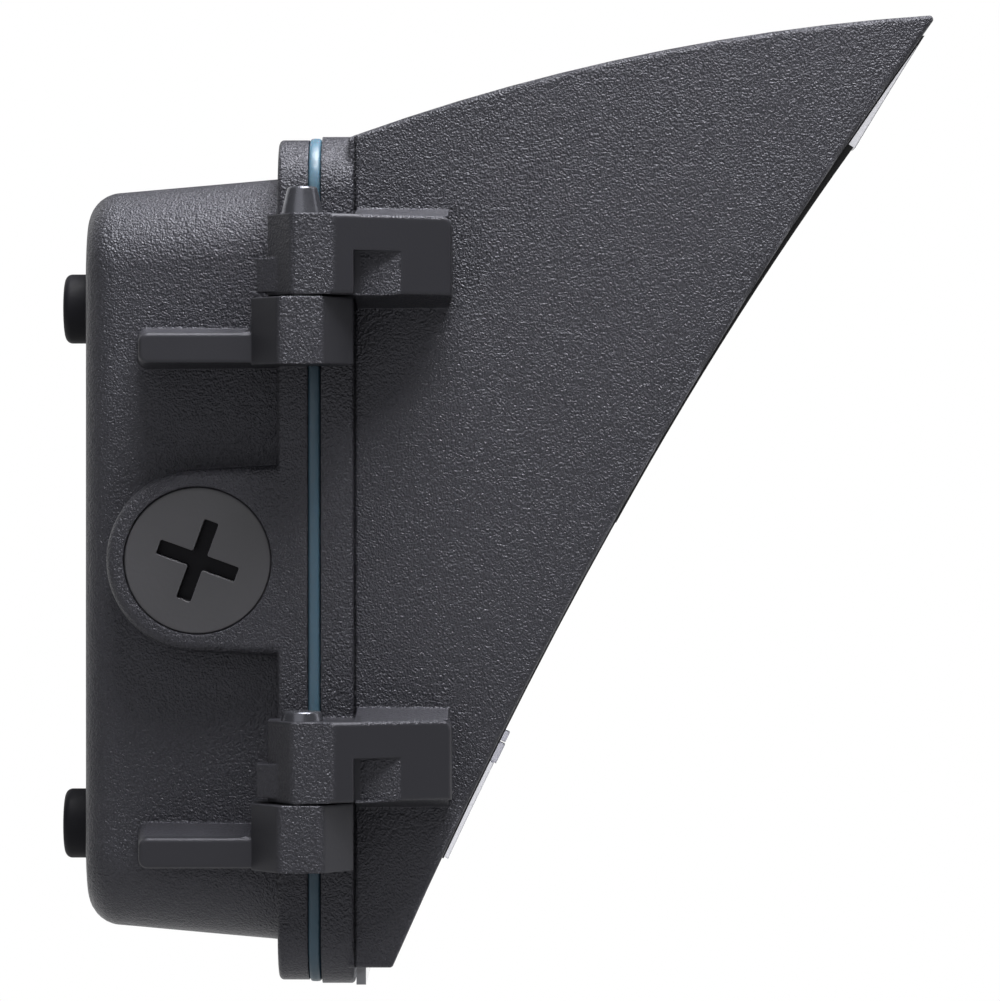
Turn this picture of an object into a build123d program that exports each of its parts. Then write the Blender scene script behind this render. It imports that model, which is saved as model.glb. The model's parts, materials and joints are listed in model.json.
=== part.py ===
from build123d import *
import math
import os

os.makedirs("parts", exist_ok=True)

# Hinged wall pack light, in millimetres.
# Frame: the wall is the plane Y = 0, the light faces -Y, +Z is up and the hinge is on the -X side.
# The origin is the middle of the four wall screws, on the wall.
# A depth is a distance from the wall, so a point at depth d has Y = -d.
# Heights in the sketches are counted from the door's middle, which is centre_up above the origin.

# Rear housing
centre_up = 1.4
wall_gap = 5.0
box_rear_width = 221.6
box_rear_height = 133.6
box_front_width = 227.4
box_front_height = 139.4
box_corner = 14.0
box_wall = 3.0
rear_wall = 3.2
rear_edge_radius = 6.0
flange_back = 40.6
flange_front = 46.0
flange_width = 239.0
flange_height = 151.8
flange_corner = 9.5
flange_edge_radius = 0.9

# Gasket and door rim
gasket_thickness = 2.4
gasket_proud = 0.3
gasket_band = 6.0
rim_thickness = 5.9
rim_width = 240.0
rim_height = 153.0
rim_corner = 10.0
rim_opening_width = 222.0
rim_opening_height = 138.0
rim_opening_corner = 8.0
rim_edge_radius = 0.7

# Hood, which is cast with the rim
hood_width = 237.6
hood_wall = 3.0
hood_bottom = -72.9
hood_top_root = (54.3, 76.1)
hood_top_middle = (101.5, 89.7)
hood_tip = (158.2, 97.65)
slant_top = (158.3, 97.1)
slant_middle = (100.9, 7.1)
slant_bottom = (61.46, -72.1)
tip_radius = 0.7
hood_edge_radius = 0.8
seam_width = 0.4
seam_depth = 0.8

# Hinge
axis_outside_rim = 9.0
axis_depth = 45.5
swing_radius = 9.0
upper_knuckle_top = 46.5
hinge_pitch = 89.2
housing_knuckle_height = 11.8
housing_knuckle_width = 18.0
door_knuckle_height = 14.2
knuckle_gap = 0.4
nose_reach = 6.6
nose_width = 7.7
nose_corner = 1.8
pin_radius = 3.8
pin_clearance = 0.08
pin_seat_depth = 10.0
upper_tip_length = 5.0
lower_tip_length = 1.7
tip_end_radius = 2.6
tip_end_fillet = 0.6
rib_start = 15.0
rib_height = 7.4
rib_reach = 129.0
rib_end_slope = 1.6
rib_top_slope = 1.6
rib_bottom_slope = 0.5
rib_corner = 1.6
rib_edge_radius = 0.6
rib_drop = 0.2
rib_blend_radius = 2.4
arm_end = 71.8
arm_end_reach = 7.6
arm_corner = 1.8
arm_edge_radius = 0.8
arm_root = 1.5
arm_draft = 1.9
arm_slope_setback = 0.6
pocket_start = 54.7
pocket_end = 63.2
pocket_depth = 3.2
pocket_height = 7.8
knuckle_root_reach = 16.0
door_nose_back = -1.6
door_nose_front = 5.2
door_barrel_back = -6.1
ear_height = 6.0
ear_lift = 0.6
ear_outline = ((-3.5, -3.05), (-0.5, -8.0), (4.0, -8.0), (6.6, -3.05))

# Conduit entries on both sides
entry_depth = 26.3
entry_pad_radius = 16.4
entry_pad_spread = 1.0
entry_pad_edge = 1.8
entry_pad_inner = 105.5
entry_radius = 13.3
plug_clearance = 0.07
plug_recess = 0.4
plug_length = 8.6
plug_skirt_radius = 9.5
plug_floor = 5.0
plug_slot_length = 14.9
plug_slot_width = 2.7
plug_slot_depth = 3.0
plug_turn = -20.0
plug_edge = 0.3
plug_slot_corner = 0.35
seal_thickness = 1.8
seal_clearance = 0.3
entry_shoulder_radius = 10.8

# Wall side
screw_spacing_across = 184.0
screw_spacing_up = 95.2
wall_screw_radius = 2.75
bumper_radius = 6.4
bumper_edge = 1.3
bumper_spigot_radius = 4.5
rear_entry_radius = 11.1
rear_entry_boss = 15.0
rear_entry_length = 6.0
box_hole_radius = 2.6
box_hole_spacing = 88.9

# Door screws on the side away from the hinge
lug_out = 7.0
lug_radius = 7.0
lug_spacing = 92.0
door_lug_front = 61.0
housing_lug_back = 29.0
door_screw_radius = 2.5
door_screw_hole = 2.9
door_screw_tip = 38.5
screw_head_radius = 4.6
screw_head_height = 3.6
screw_head_fillet = 0.9
screw_tip_chamfer = 0.6
door_cross = (5.4, 1.2, 1.8)
lug_edge_radius = 1.0
lug_hole_floor = 3.0
insert_outer_radius = 4.2
insert_inner_radius = 3.05
insert_length = 9.5
ring_outer_radius = 4.0
ring_thickness = 1.0
ring_recess_radius = 4.4
ring_recess_depth = 10.0
ring_lift = 0.2

# Light engine
tray_depth = 41.0
tray_thickness = 1.5
tray_gap_across = 7.7
tray_gap_up = 5.7
tray_corner = 5.0
post_radius = 4.2
post_inset = 8.0
small_screw_radius = 1.6
small_screw_hole = 1.9
small_head_radius = 3.2
small_head_height = 2.2
small_screw_length = 9.0
small_head_fillet = 0.8
small_cross = (3.6, 0.8, 1.2)
head_clearance = 0.5
reflector_thickness = 0.8
reflector_lip = 7.0
reflector_gap = 0.4
wedge_margin = 6.0
wedge_top = 38.0
wedge_bottom = -9.0
wedge_reach = 34.0
wedge_wall = 2.5
board_width = 138.0
board_length = 42.0
board_thickness = 1.6
led_columns = 10
led_rows = 3
led_margin_across = 12.75
led_margin_up = 9.0
led_side = 3.5
led_height = 0.9
led_dome_radius = 1.5
board_screw_inset = 4.0
board_screw_length = 3.6
board_corner = 2.0
board_screw_slot = (4.0, 0.8, 0.9)
connector_width = 7.0
connector_length = 9.0
connector_height = 4.0

# Wiring space
driver_length = 128.0
driver_height = 34.0
driver_base_depth = 14.0
driver_cover_depth = 8.0
driver_x = -8.0
driver_gap = 5.8
driver_tab = 9.0
driver_tab_thickness = 2.0
driver_tab_height = 12.0
driver_corner = 2.5
driver_edge_radius = 1.2
driver_screw_length = 5.0
driver_screw_floor = 1.2
pad_height = 2.0
surge_size = (34.0, 24.0, 15.0)
surge_x = 60.0
surge_below_top = 33.8
surge_corner = 3.0
surge_edge_radius = 1.5
push_size = (12.5, 20.0, 8.6)
connector_pitch = 17.0
connector_first_x = -56.0
connector_below_top = 25.8
port_radius = 1.4
port_depth = 6.0
push_corner = 1.0
ground_x = 18.0
ground_below_top = 23.8
ground_boss_radius = 4.5
ground_boss_height = 7.0
ground_screw_floor = 0.5
ground_head = (4.2, 3.0)
ground_slot = (7.0, 0.9, 1.0)
terminal_radius = 4.4
terminal_thickness = 1.0
terminal_neck = (8.0, 1.8)
sleeve_radius = 1.7
sleeve_reach = (7.0, 14.0)
lead_radius = 1.0
lead_spread = 1.3
lead_step = 10.0
grommet_centre = (90.0, 6.0)
grommet_radius = 6.0
grommet_bore = 3.6
grommet_lip = 1.2

# Lens
lens_thickness = 2.8
lens_recess = 0.4
lens_side_gap = 0.8
lens_seat = 1.0
ledge_thickness = 2.8
ledge_width = 4.3
lens_lip_bottom = -76.3
lens_lip_thickness = 1.7
lens_floor_top = -69.7
lens_floor_bottom = -72.4
lens_joint_gap = 0.3
lens_rib_width = 6.0
side_lip_proud = 0.35
upper_rib = (75.0, 93.0)
upper_rib_proud = 1.2
strip_low = 7.0
strip_middle_proud = 0.6
strip_width = 5.0
lower_rib = (-53.2, -36.0)
lower_rib_proud = 1.15
clip_block = (-35.9, -32.6)
clip_button = (-32.2, -30.5)
clip_proud = 1.5
gasket_end = -53.4
strip_step = 0.15
rail_low = -68.2
lens_floor_back_off = 1.0
clip_button_step = 0.2
clip_bridge_proud = 0.3
clip_side_gap = 0.5

# Sizes that follow from the ones above
gasket_front = flange_front + gasket_thickness
rim_front = gasket_front + rim_thickness
axis_x = -rim_width / 2 - axis_outside_rim
lower_knuckle_top = upper_knuckle_top - hinge_pitch
knuckle_tops = {"upper": upper_knuckle_top, "lower": lower_knuckle_top}
tip_lengths = {"upper": upper_tip_length, "lower": lower_tip_length}
inner_floor = wall_gap + rear_wall
tray_front = tray_depth + tray_thickness
cheek_outer = hood_width / 2
cheek_inner = cheek_outer - hood_wall
lens_edge = cheek_inner - lens_side_gap
lug_x = rim_width / 2 + lug_out
tray_width = box_front_width - 2 * (box_wall + tray_gap_across)
tray_height = box_front_height - 2 * (box_wall + tray_gap_up)
post_across = tray_width - 2 * post_inset
post_up = tray_height - 2 * post_inset
wedge_width = board_width + 2 * wedge_margin
led_pitch_across = (board_width - 2 * led_margin_across) / (led_columns - 1)
led_pitch_up = (board_length - 2 * led_margin_up) / (led_rows - 1)
board_screw_across = board_width - 2 * board_screw_inset
board_screw_up = board_length - 2 * board_screw_inset
inner_top = box_rear_height / 2 - box_wall
driver_centre = (driver_x, -inner_top + driver_gap + driver_height / 2)
surge_centre = (surge_x, inner_top - surge_below_top)
connector_first = (connector_first_x, inner_top - connector_below_top)
ground_centre = (ground_x, inner_top - ground_below_top)
lug_heights = {"upper": lug_spacing / 2, "lower": -lug_spacing / 2}
sides = {"left": -1, "right": 1}
far = 400.0
overlap = 1.0


# Planes and prisms

def front_plane(depth):
    """Sketch axes are X and up, and the normal points forward."""
    return Plane(origin=(0, -depth, centre_up), x_dir=(1, 0, 0), z_dir=(0, -1, 0))


def side_plane(x):
    """Sketch axes are depth and up, and the normal points to -X."""
    return Plane(origin=(x, 0, centre_up), x_dir=(0, -1, 0), z_dir=(-1, 0, 0))


def top_plane(height):
    """Sketch axes are X and depth, and the normal points down."""
    return Plane(origin=(0, 0, centre_up + height), x_dir=(1, 0, 0), z_dir=(0, 0, -1))


def prism(plane, sketch, length):
    """Extrude along the plane's normal, whichever way round the outline was drawn."""
    return extrude(plane * sketch, amount=length, dir=plane.z_dir)


def forward(sketch, low, high):
    return prism(front_plane(low), sketch, high - low)


def across(sketch, low, high):
    return prism(side_plane(high), sketch, high - low)


def upright(sketch, low, high):
    return prism(top_plane(high), sketch, high - low)


def span(low_x, high_x, low_y, high_y):
    """A rectangle between two corners of a sketch."""
    middle = Pos((low_x + high_x) / 2, (low_y + high_y) / 2)
    return middle * Rectangle(high_x - low_x, high_y - low_y)


def block(x_low, x_high, depth_low, depth_high, low, high):
    return forward(span(x_low, x_high, low, high), depth_low, depth_high)


def rod(x, height, radius, depth_low, depth_high):
    """A round bar that points forward."""
    return forward(Pos(x, height) * Circle(radius), depth_low, depth_high)


def rod_across(depth, height, radius, x_low, x_high):
    return across(Pos(depth, height) * Circle(radius), x_low, x_high)


def frame_band(width, height, corner, band):
    outer = RectangleRounded(width, height, corner)
    inner = RectangleRounded(width - 2 * band, height - 2 * band, max(corner - band, 1.0))
    return outer - inner


def tapered_box(rear_width, rear_height, rear_depth, front_width, front_height, front_depth, corner):
    rear = front_plane(rear_depth) * RectangleRounded(rear_width, rear_height, corner)
    front = front_plane(front_depth) * RectangleRounded(front_width, front_height, corner)
    return loft([rear.face(), front.face()], ruled=True)


def circle_through(a, b, c):
    """Centre and radius of the circle through three points of a sketch."""
    square_a, square_b, square_c = (p[0] ** 2 + p[1] ** 2 for p in (a, b, c))
    twice_area = 2 * (a[0] * (b[1] - c[1]) + b[0] * (c[1] - a[1]) + c[0] * (a[1] - b[1]))
    x = (square_a * (b[1] - c[1]) + square_b * (c[1] - a[1]) + square_c * (a[1] - b[1])) / twice_area
    y = (square_a * (c[0] - b[0]) + square_b * (a[0] - c[0]) + square_c * (b[0] - a[0])) / twice_area
    return (x, y), math.hypot(a[0] - x, a[1] - y)


top_centre, top_radius = circle_through(hood_top_root, hood_top_middle, hood_tip)
slant_centre, slant_radius = circle_through(slant_top, slant_middle, slant_bottom)


def slant_point(height, proud=0.0):
    """Point of the slanted edge at a height, moved out of the hood by proud."""
    rise = height - slant_centre[1]
    run = math.sqrt(slant_radius ** 2 - rise ** 2)
    scale = (slant_radius - proud) / slant_radius
    return (slant_centre[0] - run * scale, slant_centre[1] + rise * scale)


def slant_band(low, high, inner, outer_low, outer_middle, outer_high):
    """Strip along the slanted edge; the offsets count outwards from the edge."""
    middle = (low + high) / 2
    outline = [
        ThreePointArc(slant_point(low, outer_low), slant_point(middle, outer_middle),
                      slant_point(high, outer_high)),
        Line(slant_point(high, outer_high), slant_point(high, inner)),
        ThreePointArc(slant_point(high, inner), slant_point(middle, inner), slant_point(low, inner)),
        Line(slant_point(low, inner), slant_point(low, outer_low)),
    ]
    return make_face(outline)


def even_band(low, high, inner, outer):
    return slant_band(low, high, inner, outer, outer, outer)


def save(name, shape):
    export_step(shape, f"parts/{name}.step")


def group(shapes):
    return Compound(children=list(shapes))


# Rear housing: a cast box with a flange, hinge ribs and knuckles, entry pads, screw lugs and posts

def housing_block():
    """Outside of the box with its flange, still solid."""
    outer = tapered_box(box_rear_width, box_rear_height, wall_gap, box_front_width, box_front_height,
                        flange_back, box_corner)
    rear_edges = outer.faces().sort_by(Axis.Y)[-1].edges()
    outer = fillet(rear_edges, rear_edge_radius)
    flange_outline = RectangleRounded(flange_width, flange_height, flange_corner)
    flange = forward(flange_outline, flange_back, flange_front)
    flange_edges = flange.faces().sort_by(Axis.Y)[-1].edges()
    return outer + fillet(flange_edges, flange_edge_radius)


def housing_room():
    """Tapered space inside the box, open a little past the front of the flange."""
    return tapered_box(box_rear_width - 2 * box_wall, box_rear_height - 2 * box_wall, inner_floor,
                       box_front_width - 2 * box_wall, box_front_height - 2 * box_wall,
                       flange_front + overlap, box_corner - box_wall)


def housing_knuckle(top):
    """Knuckle whose front stays inside the circle that the opening door leaves free."""
    half_nose = nose_width / 2
    half_base = housing_knuckle_width / 2
    face = flange_front - axis_depth
    root = knuckle_root_reach
    outline = Polygon(
        (-nose_reach, -half_nose), (-nose_reach, half_nose), (0, half_base), (swing_radius, half_base),
        (swing_radius, face), (root, face), (root, -half_base), (0, -half_base), align=None)
    outline = fillet(outline.vertices().sort_by(Axis.X)[:2], nose_corner)
    behind_face = span(-root, root, -root, face)
    outline = (outline & Circle(swing_radius)) + (outline & behind_face)
    return upright(Pos(axis_x, axis_depth) * outline, top - housing_knuckle_height, top)


def hinge_rib(top):
    """Rib that carries a knuckle back along the side of the box; it narrows away from the box."""
    low = top - housing_knuckle_height - rib_drop
    high = low + rib_height
    root = span(rib_start, axis_depth, low, high)
    face = span(rib_start + rib_end_slope, axis_depth, low + rib_bottom_slope, high - rib_top_slope)
    root = fillet(root.vertices().sort_by(Axis.X)[:2], rib_corner)
    face = fillet(face.vertices().sort_by(Axis.X)[:2], rib_corner)
    root_plane = side_plane(-box_front_width / 2 + box_wall)
    rib = loft([(root_plane * root).face(), (side_plane(-rib_reach) * face).face()], ruled=True)
    outer_edges = rib.faces().sort_by(Axis.X)[0].edges()
    rib = fillet(outer_edges, rib_edge_radius)
    knuckle_back = axis_depth - housing_knuckle_width / 2
    arc_depth = knuckle_back - rib_blend_radius
    face_top = high - rib_top_slope
    blend = span(arc_depth, knuckle_back + overlap, face_top, face_top + rib_blend_radius)
    blend -= Pos(arc_depth, face_top + rib_blend_radius) * Circle(rib_blend_radius)
    return rib + across(blend, -rib_reach + rib_edge_radius, -box_front_width / 2 + box_wall)


def entry_pad(side):
    """D-shaped pad round a conduit entry, flush with the flange's side."""
    half_front = entry_pad_radius + entry_pad_spread
    body = Polygon(
        (entry_depth, -entry_pad_radius), (flange_front, -half_front), (flange_front, half_front),
        (entry_depth, entry_pad_radius), align=None)
    outline = body + Pos(entry_depth, 0) * Circle(entry_pad_radius)
    inner_x = side * entry_pad_inner
    outer_x = side * flange_width / 2
    pad = across(outline, min(inner_x, outer_x), max(inner_x, outer_x))
    outer_face = pad.faces().sort_by(Axis.X)[-1 if side > 0 else 0]
    return fillet(outer_face.edges(), entry_pad_edge)


def entry_bore(side):
    """Stepped hole: the wide part takes the plug, the shoulder takes its seal."""
    face_x = flange_width / 2
    shoulder_x = face_x - plug_recess - plug_length - seal_thickness
    wide = rod_across(entry_depth, 0, entry_radius, shoulder_x, face_x + overlap)
    narrow = rod_across(entry_depth, 0, entry_shoulder_radius, entry_pad_inner - overlap, shoulder_x)
    return on_side(wide + narrow, side)


def housing_lug(height):
    bar = rod(lug_x, height, lug_radius, housing_lug_back, flange_front)
    web = block(box_rear_width / 2 - box_wall, lug_x, housing_lug_back, flange_front,
                height - lug_radius, height + lug_radius)
    return bar + web


def wall_screw_places():
    half_x = screw_spacing_across / 2
    half_z = screw_spacing_up / 2
    return [(-half_x, half_z - centre_up), (half_x, half_z - centre_up),
            (-half_x, -half_z - centre_up), (half_x, -half_z - centre_up)]


def post_places():
    return [(x, z) for x in (-post_across / 2, post_across / 2) for z in (-post_up / 2, post_up / 2)]


def driver_tab_places():
    reach = driver_length / 2 + driver_tab / 2
    return [(driver_centre[0] - reach, driver_centre[1]), (driver_centre[0] + reach, driver_centre[1])]


def rear_housing():
    body = housing_block()
    for top in knuckle_tops.values():
        body += housing_knuckle(top)
        body += hinge_rib(top)
    for side in sides.values():
        body += entry_pad(side)
    for height in lug_heights.values():
        body += housing_lug(height)
    pads = entry_pad(1) + entry_pad(-1)
    body = body - (housing_room() - pads)
    for x, z in post_places():
        body += rod(x, z, post_radius, inner_floor - overlap, tray_depth)
    for x, z in driver_tab_places():
        body += rod(x, z, post_radius, inner_floor - overlap, inner_floor + pad_height)
    body += rod(*ground_centre, ground_boss_radius, inner_floor - overlap, inner_floor + ground_boss_height)
    body += rod(0, 0, rear_entry_boss, inner_floor - overlap, wall_gap + rear_entry_length)
    for side in sides.values():
        body -= entry_bore(side)
    for x, z in wall_screw_places():
        body -= rod(x, z, bumper_spigot_radius, 0, inner_floor)
    for x, z in post_places():
        body -= rod(x, z, small_screw_radius, tray_front - small_screw_length, tray_depth)
    for x, z in driver_tab_places():
        body -= rod(x, z, small_screw_radius, wall_gap + driver_screw_floor, inner_floor + pad_height)
    body -= rod(*ground_centre, small_screw_radius, inner_floor, inner_floor + ground_boss_height)
    body -= rod(0, 0, rear_entry_radius, 0, wall_gap + rear_entry_length)
    for x in (-box_hole_spacing / 2, box_hole_spacing / 2):
        body -= rod(x, 0, box_hole_radius, 0, inner_floor)
    for height in lug_heights.values():
        body -= rod(lug_x, height, insert_outer_radius, flange_front - insert_length, flange_front)
        body -= rod(lug_x, height, insert_inner_radius, housing_lug_back + lug_hole_floor, flange_front)
    for top in knuckle_tops.values():
        seat = Pos(axis_x, axis_depth) * Circle(pin_radius)
        body -= upright(seat, top - pin_seat_depth, top)
    return body


def hinge_pin(name):
    """Pin pressed into a housing knuckle, with a tapered tip above the door's knuckle."""
    top = knuckle_tops[name]
    shoulder = top + knuckle_gap + door_knuckle_height
    place = Pos(axis_x, axis_depth)
    shaft = upright(place * Circle(pin_radius), top - pin_seat_depth, shoulder)
    base = top_plane(shoulder) * place * Circle(pin_radius)
    slope = (pin_radius - tip_end_radius) / upper_tip_length
    end_radius = pin_radius - slope * tip_lengths[name]
    end = top_plane(shoulder + tip_lengths[name]) * place * Circle(end_radius)
    tip = loft([base.face(), end.face()], ruled=True)
    end_edge = tip.edges().sort_by(Axis.Z)[-1]
    return shaft + fillet(end_edge, tip_end_fillet)


# Wall bumpers: rubber feet with a spigot, and a hole for the wall screw

def wall_bumper(x, z):
    foot = rod(x, z, bumper_radius, 0, wall_gap)
    wall_edge = foot.faces().sort_by(Axis.Y)[-1].edges()
    foot = fillet(wall_edge, bumper_edge)
    spigot = rod(x, z, bumper_spigot_radius, wall_gap, inner_floor)
    return foot + spigot - rod(x, z, wall_screw_radius, 0, inner_floor)


# Conduit plugs with their seals

def conduit_plug():
    face_x = flange_width / 2 - plug_recess
    back_x = face_x - plug_length
    radius = entry_radius - plug_clearance
    body = rod_across(entry_depth, 0, radius, back_x, face_x)
    body = chamfer(body.faces().sort_by(Axis.X)[-1].edges(), plug_edge)
    body -= rod_across(entry_depth, 0, plug_skirt_radius, back_x, face_x - plug_floor)
    cross = Rectangle(plug_slot_length, plug_slot_width) + Rectangle(plug_slot_width, plug_slot_length)
    cross = fillet(cross.vertices(), plug_slot_corner)
    cross = Pos(entry_depth, 0) * Rot(0, 0, plug_turn) * cross
    return body - across(cross, face_x - plug_slot_depth, face_x)


def plug_seal():
    face_x = flange_width / 2 - plug_recess - plug_length
    outer = rod_across(entry_depth, 0, entry_radius - seal_clearance, face_x - seal_thickness, face_x)
    return outer - rod_across(entry_depth, 0, entry_shoulder_radius, face_x - seal_thickness, face_x)


def on_side(shape, side):
    return shape if side > 0 else mirror(shape, about=Plane.YZ)


# Door: rim, hood, hinge knuckles with their arms, and lugs for the door screws

def hood_profile():
    room = span(rim_front - overlap, far, hood_bottom, far)
    profile = room & (Pos(*top_centre) * Circle(top_radius))
    profile = profile - Pos(*slant_centre) * Circle(slant_radius)
    tip = profile.vertices().sort_by(Axis.X)[-1]
    toe = profile.vertices().sort_by(Axis.Y)[:2].sort_by(Axis.X)[-1]
    return fillet([tip, toe], tip_radius)


def hood_shell():
    outer = across(hood_profile(), -cheek_outer, cheek_outer)
    outer = outer.solid()
    side_edges = outer.faces().sort_by(Axis.X)[0].edges() + outer.faces().sort_by(Axis.X)[-1].edges()
    rounded = [edge for edge in side_edges if edge.center().Y < -rim_front]
    outer = fillet(rounded, hood_edge_radius)
    room = span(rim_front, far, -far, far) & (Pos(*top_centre) * Circle(top_radius - hood_wall))
    return outer - across(room, -cheek_inner, cheek_inner)


def seam_groove():
    """Fine groove between the rim and the cheeks."""
    outline = span(-far, far, -far, far) - Rectangle(hood_width - 2 * seam_depth, far)
    return forward(outline, rim_front, rim_front + seam_width)


def lens_ledge(side):
    """Rail inside a cheek that the lens and its gasket rest on."""
    back = -lens_recess - lens_thickness - lens_seat
    outline = even_band(rail_low, slant_top[1], back - ledge_thickness, back)
    outline = outline & (Pos(*top_centre) * Circle(top_radius - hood_wall / 2))
    rail = across(outline, cheek_inner - ledge_width, cheek_inner + hood_wall / 2)
    return on_side(rail, side)


def arm_slope(height, way):
    """Sloping top or underside that widens an arm towards the cheek, in front of the rim."""
    end_x = -cheek_outer - arm_end_reach
    slope = (end_x - axis_x + nose_reach) / (arm_end - axis_depth - door_nose_front)
    sections = []
    for depth in (rim_front + arm_slope_setback, arm_end - arm_slope_setback):
        outer_x = end_x - slope * (arm_end - depth) + arm_edge_radius
        inner_x = -cheek_outer + arm_draft / 2
        section = Polygon(
            (outer_x, height), (inner_x, height), (inner_x, height + way * arm_draft), align=None)
        sections.append((front_plane(depth) * section).face())
    return loft(sections, ruled=True)


def door_knuckle(top):
    """Knuckle, ear and arm; what lies behind the rim stays inside the swing circle."""
    low = top + knuckle_gap
    high = low + door_knuckle_height
    nose_front = door_nose_front
    rear = door_barrel_back
    reach = axis_outside_rim + hood_wall
    barrel = Polygon(
        (-nose_reach, door_nose_back), (-nose_reach, nose_front), (reach, nose_front), (reach, rear / 2),
        (nose_reach, rear), (0, rear), align=None)
    barrel = fillet(barrel.vertices().group_by(Axis.X)[0].sort_by(Axis.Y)[0], nose_corner)
    ear = Polygon(*ear_outline, align=None)
    inside = Circle(swing_radius) + span(-far, far, gasket_front - axis_depth, far)
    place = Pos(axis_x, axis_depth)
    shape = upright(place * (barrel & inside), low, high)
    shape += upright(place * (ear & inside), low + ear_lift, low + ear_lift + ear_height)
    arm_back = nose_front - arm_root
    arm_front = arm_end - axis_depth
    end_x = axis_outside_rim + rim_width / 2 - cheek_outer - arm_end_reach
    arm = Polygon(
        (-nose_reach, arm_back), (-nose_reach, nose_front), (end_x, arm_front), (reach, arm_front),
        (reach, arm_back), align=None)
    arm = upright(place * arm, low, high)
    end_edges = arm.edges().filter_by(Axis.X).group_by(Axis.Y)[0].sort_by(Axis.Z)
    arm = fillet(end_edges[-1], arm_corner)
    outer_face = arm.faces().filter_by(lambda face: face.normal_at().X < -0.5).sort_by(SortBy.AREA)[-1]
    nose_edge = outer_face.edges().sort_by(Axis.Y)[-1]
    other_edges = [edge for edge in outer_face.edges() if edge.center() != nose_edge.center()]
    arm = fillet(other_edges, arm_edge_radius)
    shape += arm
    slope = (end_x + nose_reach) / (arm_front - nose_front)
    start = pocket_start - axis_depth
    end = pocket_end - axis_depth
    start_x = -nose_reach + slope * (start - nose_front)
    outside_x = start_x - overlap
    pocket = Polygon(
        (outside_x, start), (start_x + pocket_depth, start),
        (-nose_reach + slope * (end - nose_front), end), (outside_x, end), align=None)
    shape -= upright(place * pocket, low, low + pocket_height)
    return shape + arm_slope(low, -1) + arm_slope(high, 1)


def door_lug(height):
    bar = rod(lug_x, height, lug_radius, gasket_front, door_lug_front)
    web = block(cheek_inner + overlap, lug_x, gasket_front, door_lug_front, height - lug_radius,
                height + lug_radius)
    bar = bar + web
    front_edges = bar.faces().sort_by(Axis.Y)[0].edges()
    return fillet(front_edges, lug_edge_radius)


def door_hood():
    rim = forward(RectangleRounded(rim_width, rim_height, rim_corner), gasket_front, rim_front)
    front_edges = rim.faces().sort_by(Axis.Y)[0].edges()
    rim = fillet(front_edges, rim_edge_radius)
    body = rim + hood_shell() - seam_groove()
    for top in knuckle_tops.values():
        body += door_knuckle(top)
    for height in lug_heights.values():
        body += door_lug(height)
    opening = RectangleRounded(rim_opening_width, rim_opening_height, rim_opening_corner)
    body -= forward(opening, gasket_front - overlap, rim_front)
    arm_roots = span(rim_front, arm_end + overlap, -rim_opening_height / 2, rim_opening_height / 2)
    body -= across(arm_roots, -cheek_inner, cheek_inner)
    for side in sides.values():
        body += lens_ledge(side)
    for top in knuckle_tops.values():
        bore = Pos(axis_x, axis_depth) * Circle(pin_radius + pin_clearance)
        body -= upright(bore, top, top + knuckle_gap + door_knuckle_height + overlap)
    for height in lug_heights.values():
        body -= rod(lug_x, height, door_screw_hole, gasket_front, door_lug_front)
        body -= rod(lug_x, height, ring_recess_radius, gasket_front, gasket_front + ring_recess_depth)
    return body


def door_gasket():
    width = flange_width + 2 * gasket_proud
    height = flange_height + 2 * gasket_proud
    ring = frame_band(width, height, flange_corner + gasket_proud, gasket_band)
    return forward(ring, flange_front, gasket_front)


# Captive door screws, their rings and the inserts in the housing

def cross_recess(x, z, front, sizes):
    """Cross-shaped hollow in a screw head; sizes are arm length, arm width and depth."""
    length, width, depth = sizes
    cross = Rectangle(length, width) + Rectangle(width, length)
    return forward(Pos(x, z) * cross, front - depth, front)


def door_screw(height):
    shaft = rod(lug_x, height, door_screw_radius, door_screw_tip, door_lug_front)
    head = rod(lug_x, height, screw_head_radius, door_lug_front, door_lug_front + screw_head_height)
    head = fillet(head.faces().sort_by(Axis.Y)[0].edges(), screw_head_fillet)
    tip_edge = shaft.faces().sort_by(Axis.Y)[-1].edges()
    shaft = chamfer(tip_edge, screw_tip_chamfer)
    front = door_lug_front + screw_head_height
    return shaft + head - cross_recess(lug_x, height, front, door_cross)


def screw_ring(height):
    low = gasket_front + ring_lift
    ring = rod(lug_x, height, ring_outer_radius, low, low + ring_thickness)
    return ring - rod(lug_x, height, door_screw_radius, low, low + ring_thickness)


def screw_insert(height):
    back = flange_front - insert_length
    body = rod(lug_x, height, insert_outer_radius, back, flange_front)
    return body - rod(lug_x, height, insert_inner_radius, back, flange_front)


# Lens, its gaskets, side strips, clips and screws

def lens():
    front = -lens_recess
    back = front - lens_thickness
    under_roof = Pos(*top_centre) * Circle(top_radius - hood_wall - lens_joint_gap)
    plate = even_band(lens_floor_bottom, slant_top[1], back, front) & under_roof
    lip_back = rim_front + lens_joint_gap
    floor_end = slant_point(lens_floor_bottom)[0] - lens_floor_back_off
    floor = span(lip_back, floor_end, lens_floor_bottom, lens_floor_top)
    lip = span(lip_back, lip_back + lens_lip_thickness, lens_lip_bottom, lens_floor_top)
    body = across(plate + floor + lip, -lens_edge, lens_edge)
    for side in sides.values():
        low_rib = even_band(*lower_rib, back, lower_rib_proud)
        line_rib = even_band(strip_low, upper_rib[0], back, side_lip_proud)
        top_rib = slant_band(*upper_rib, back, upper_rib_proud, upper_rib_proud / 2, 0.0)
        ribs = (low_rib + line_rib + top_rib) & under_roof
        body += on_side(across(ribs, lens_edge - lens_rib_width, lens_edge), side)
    return body


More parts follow.
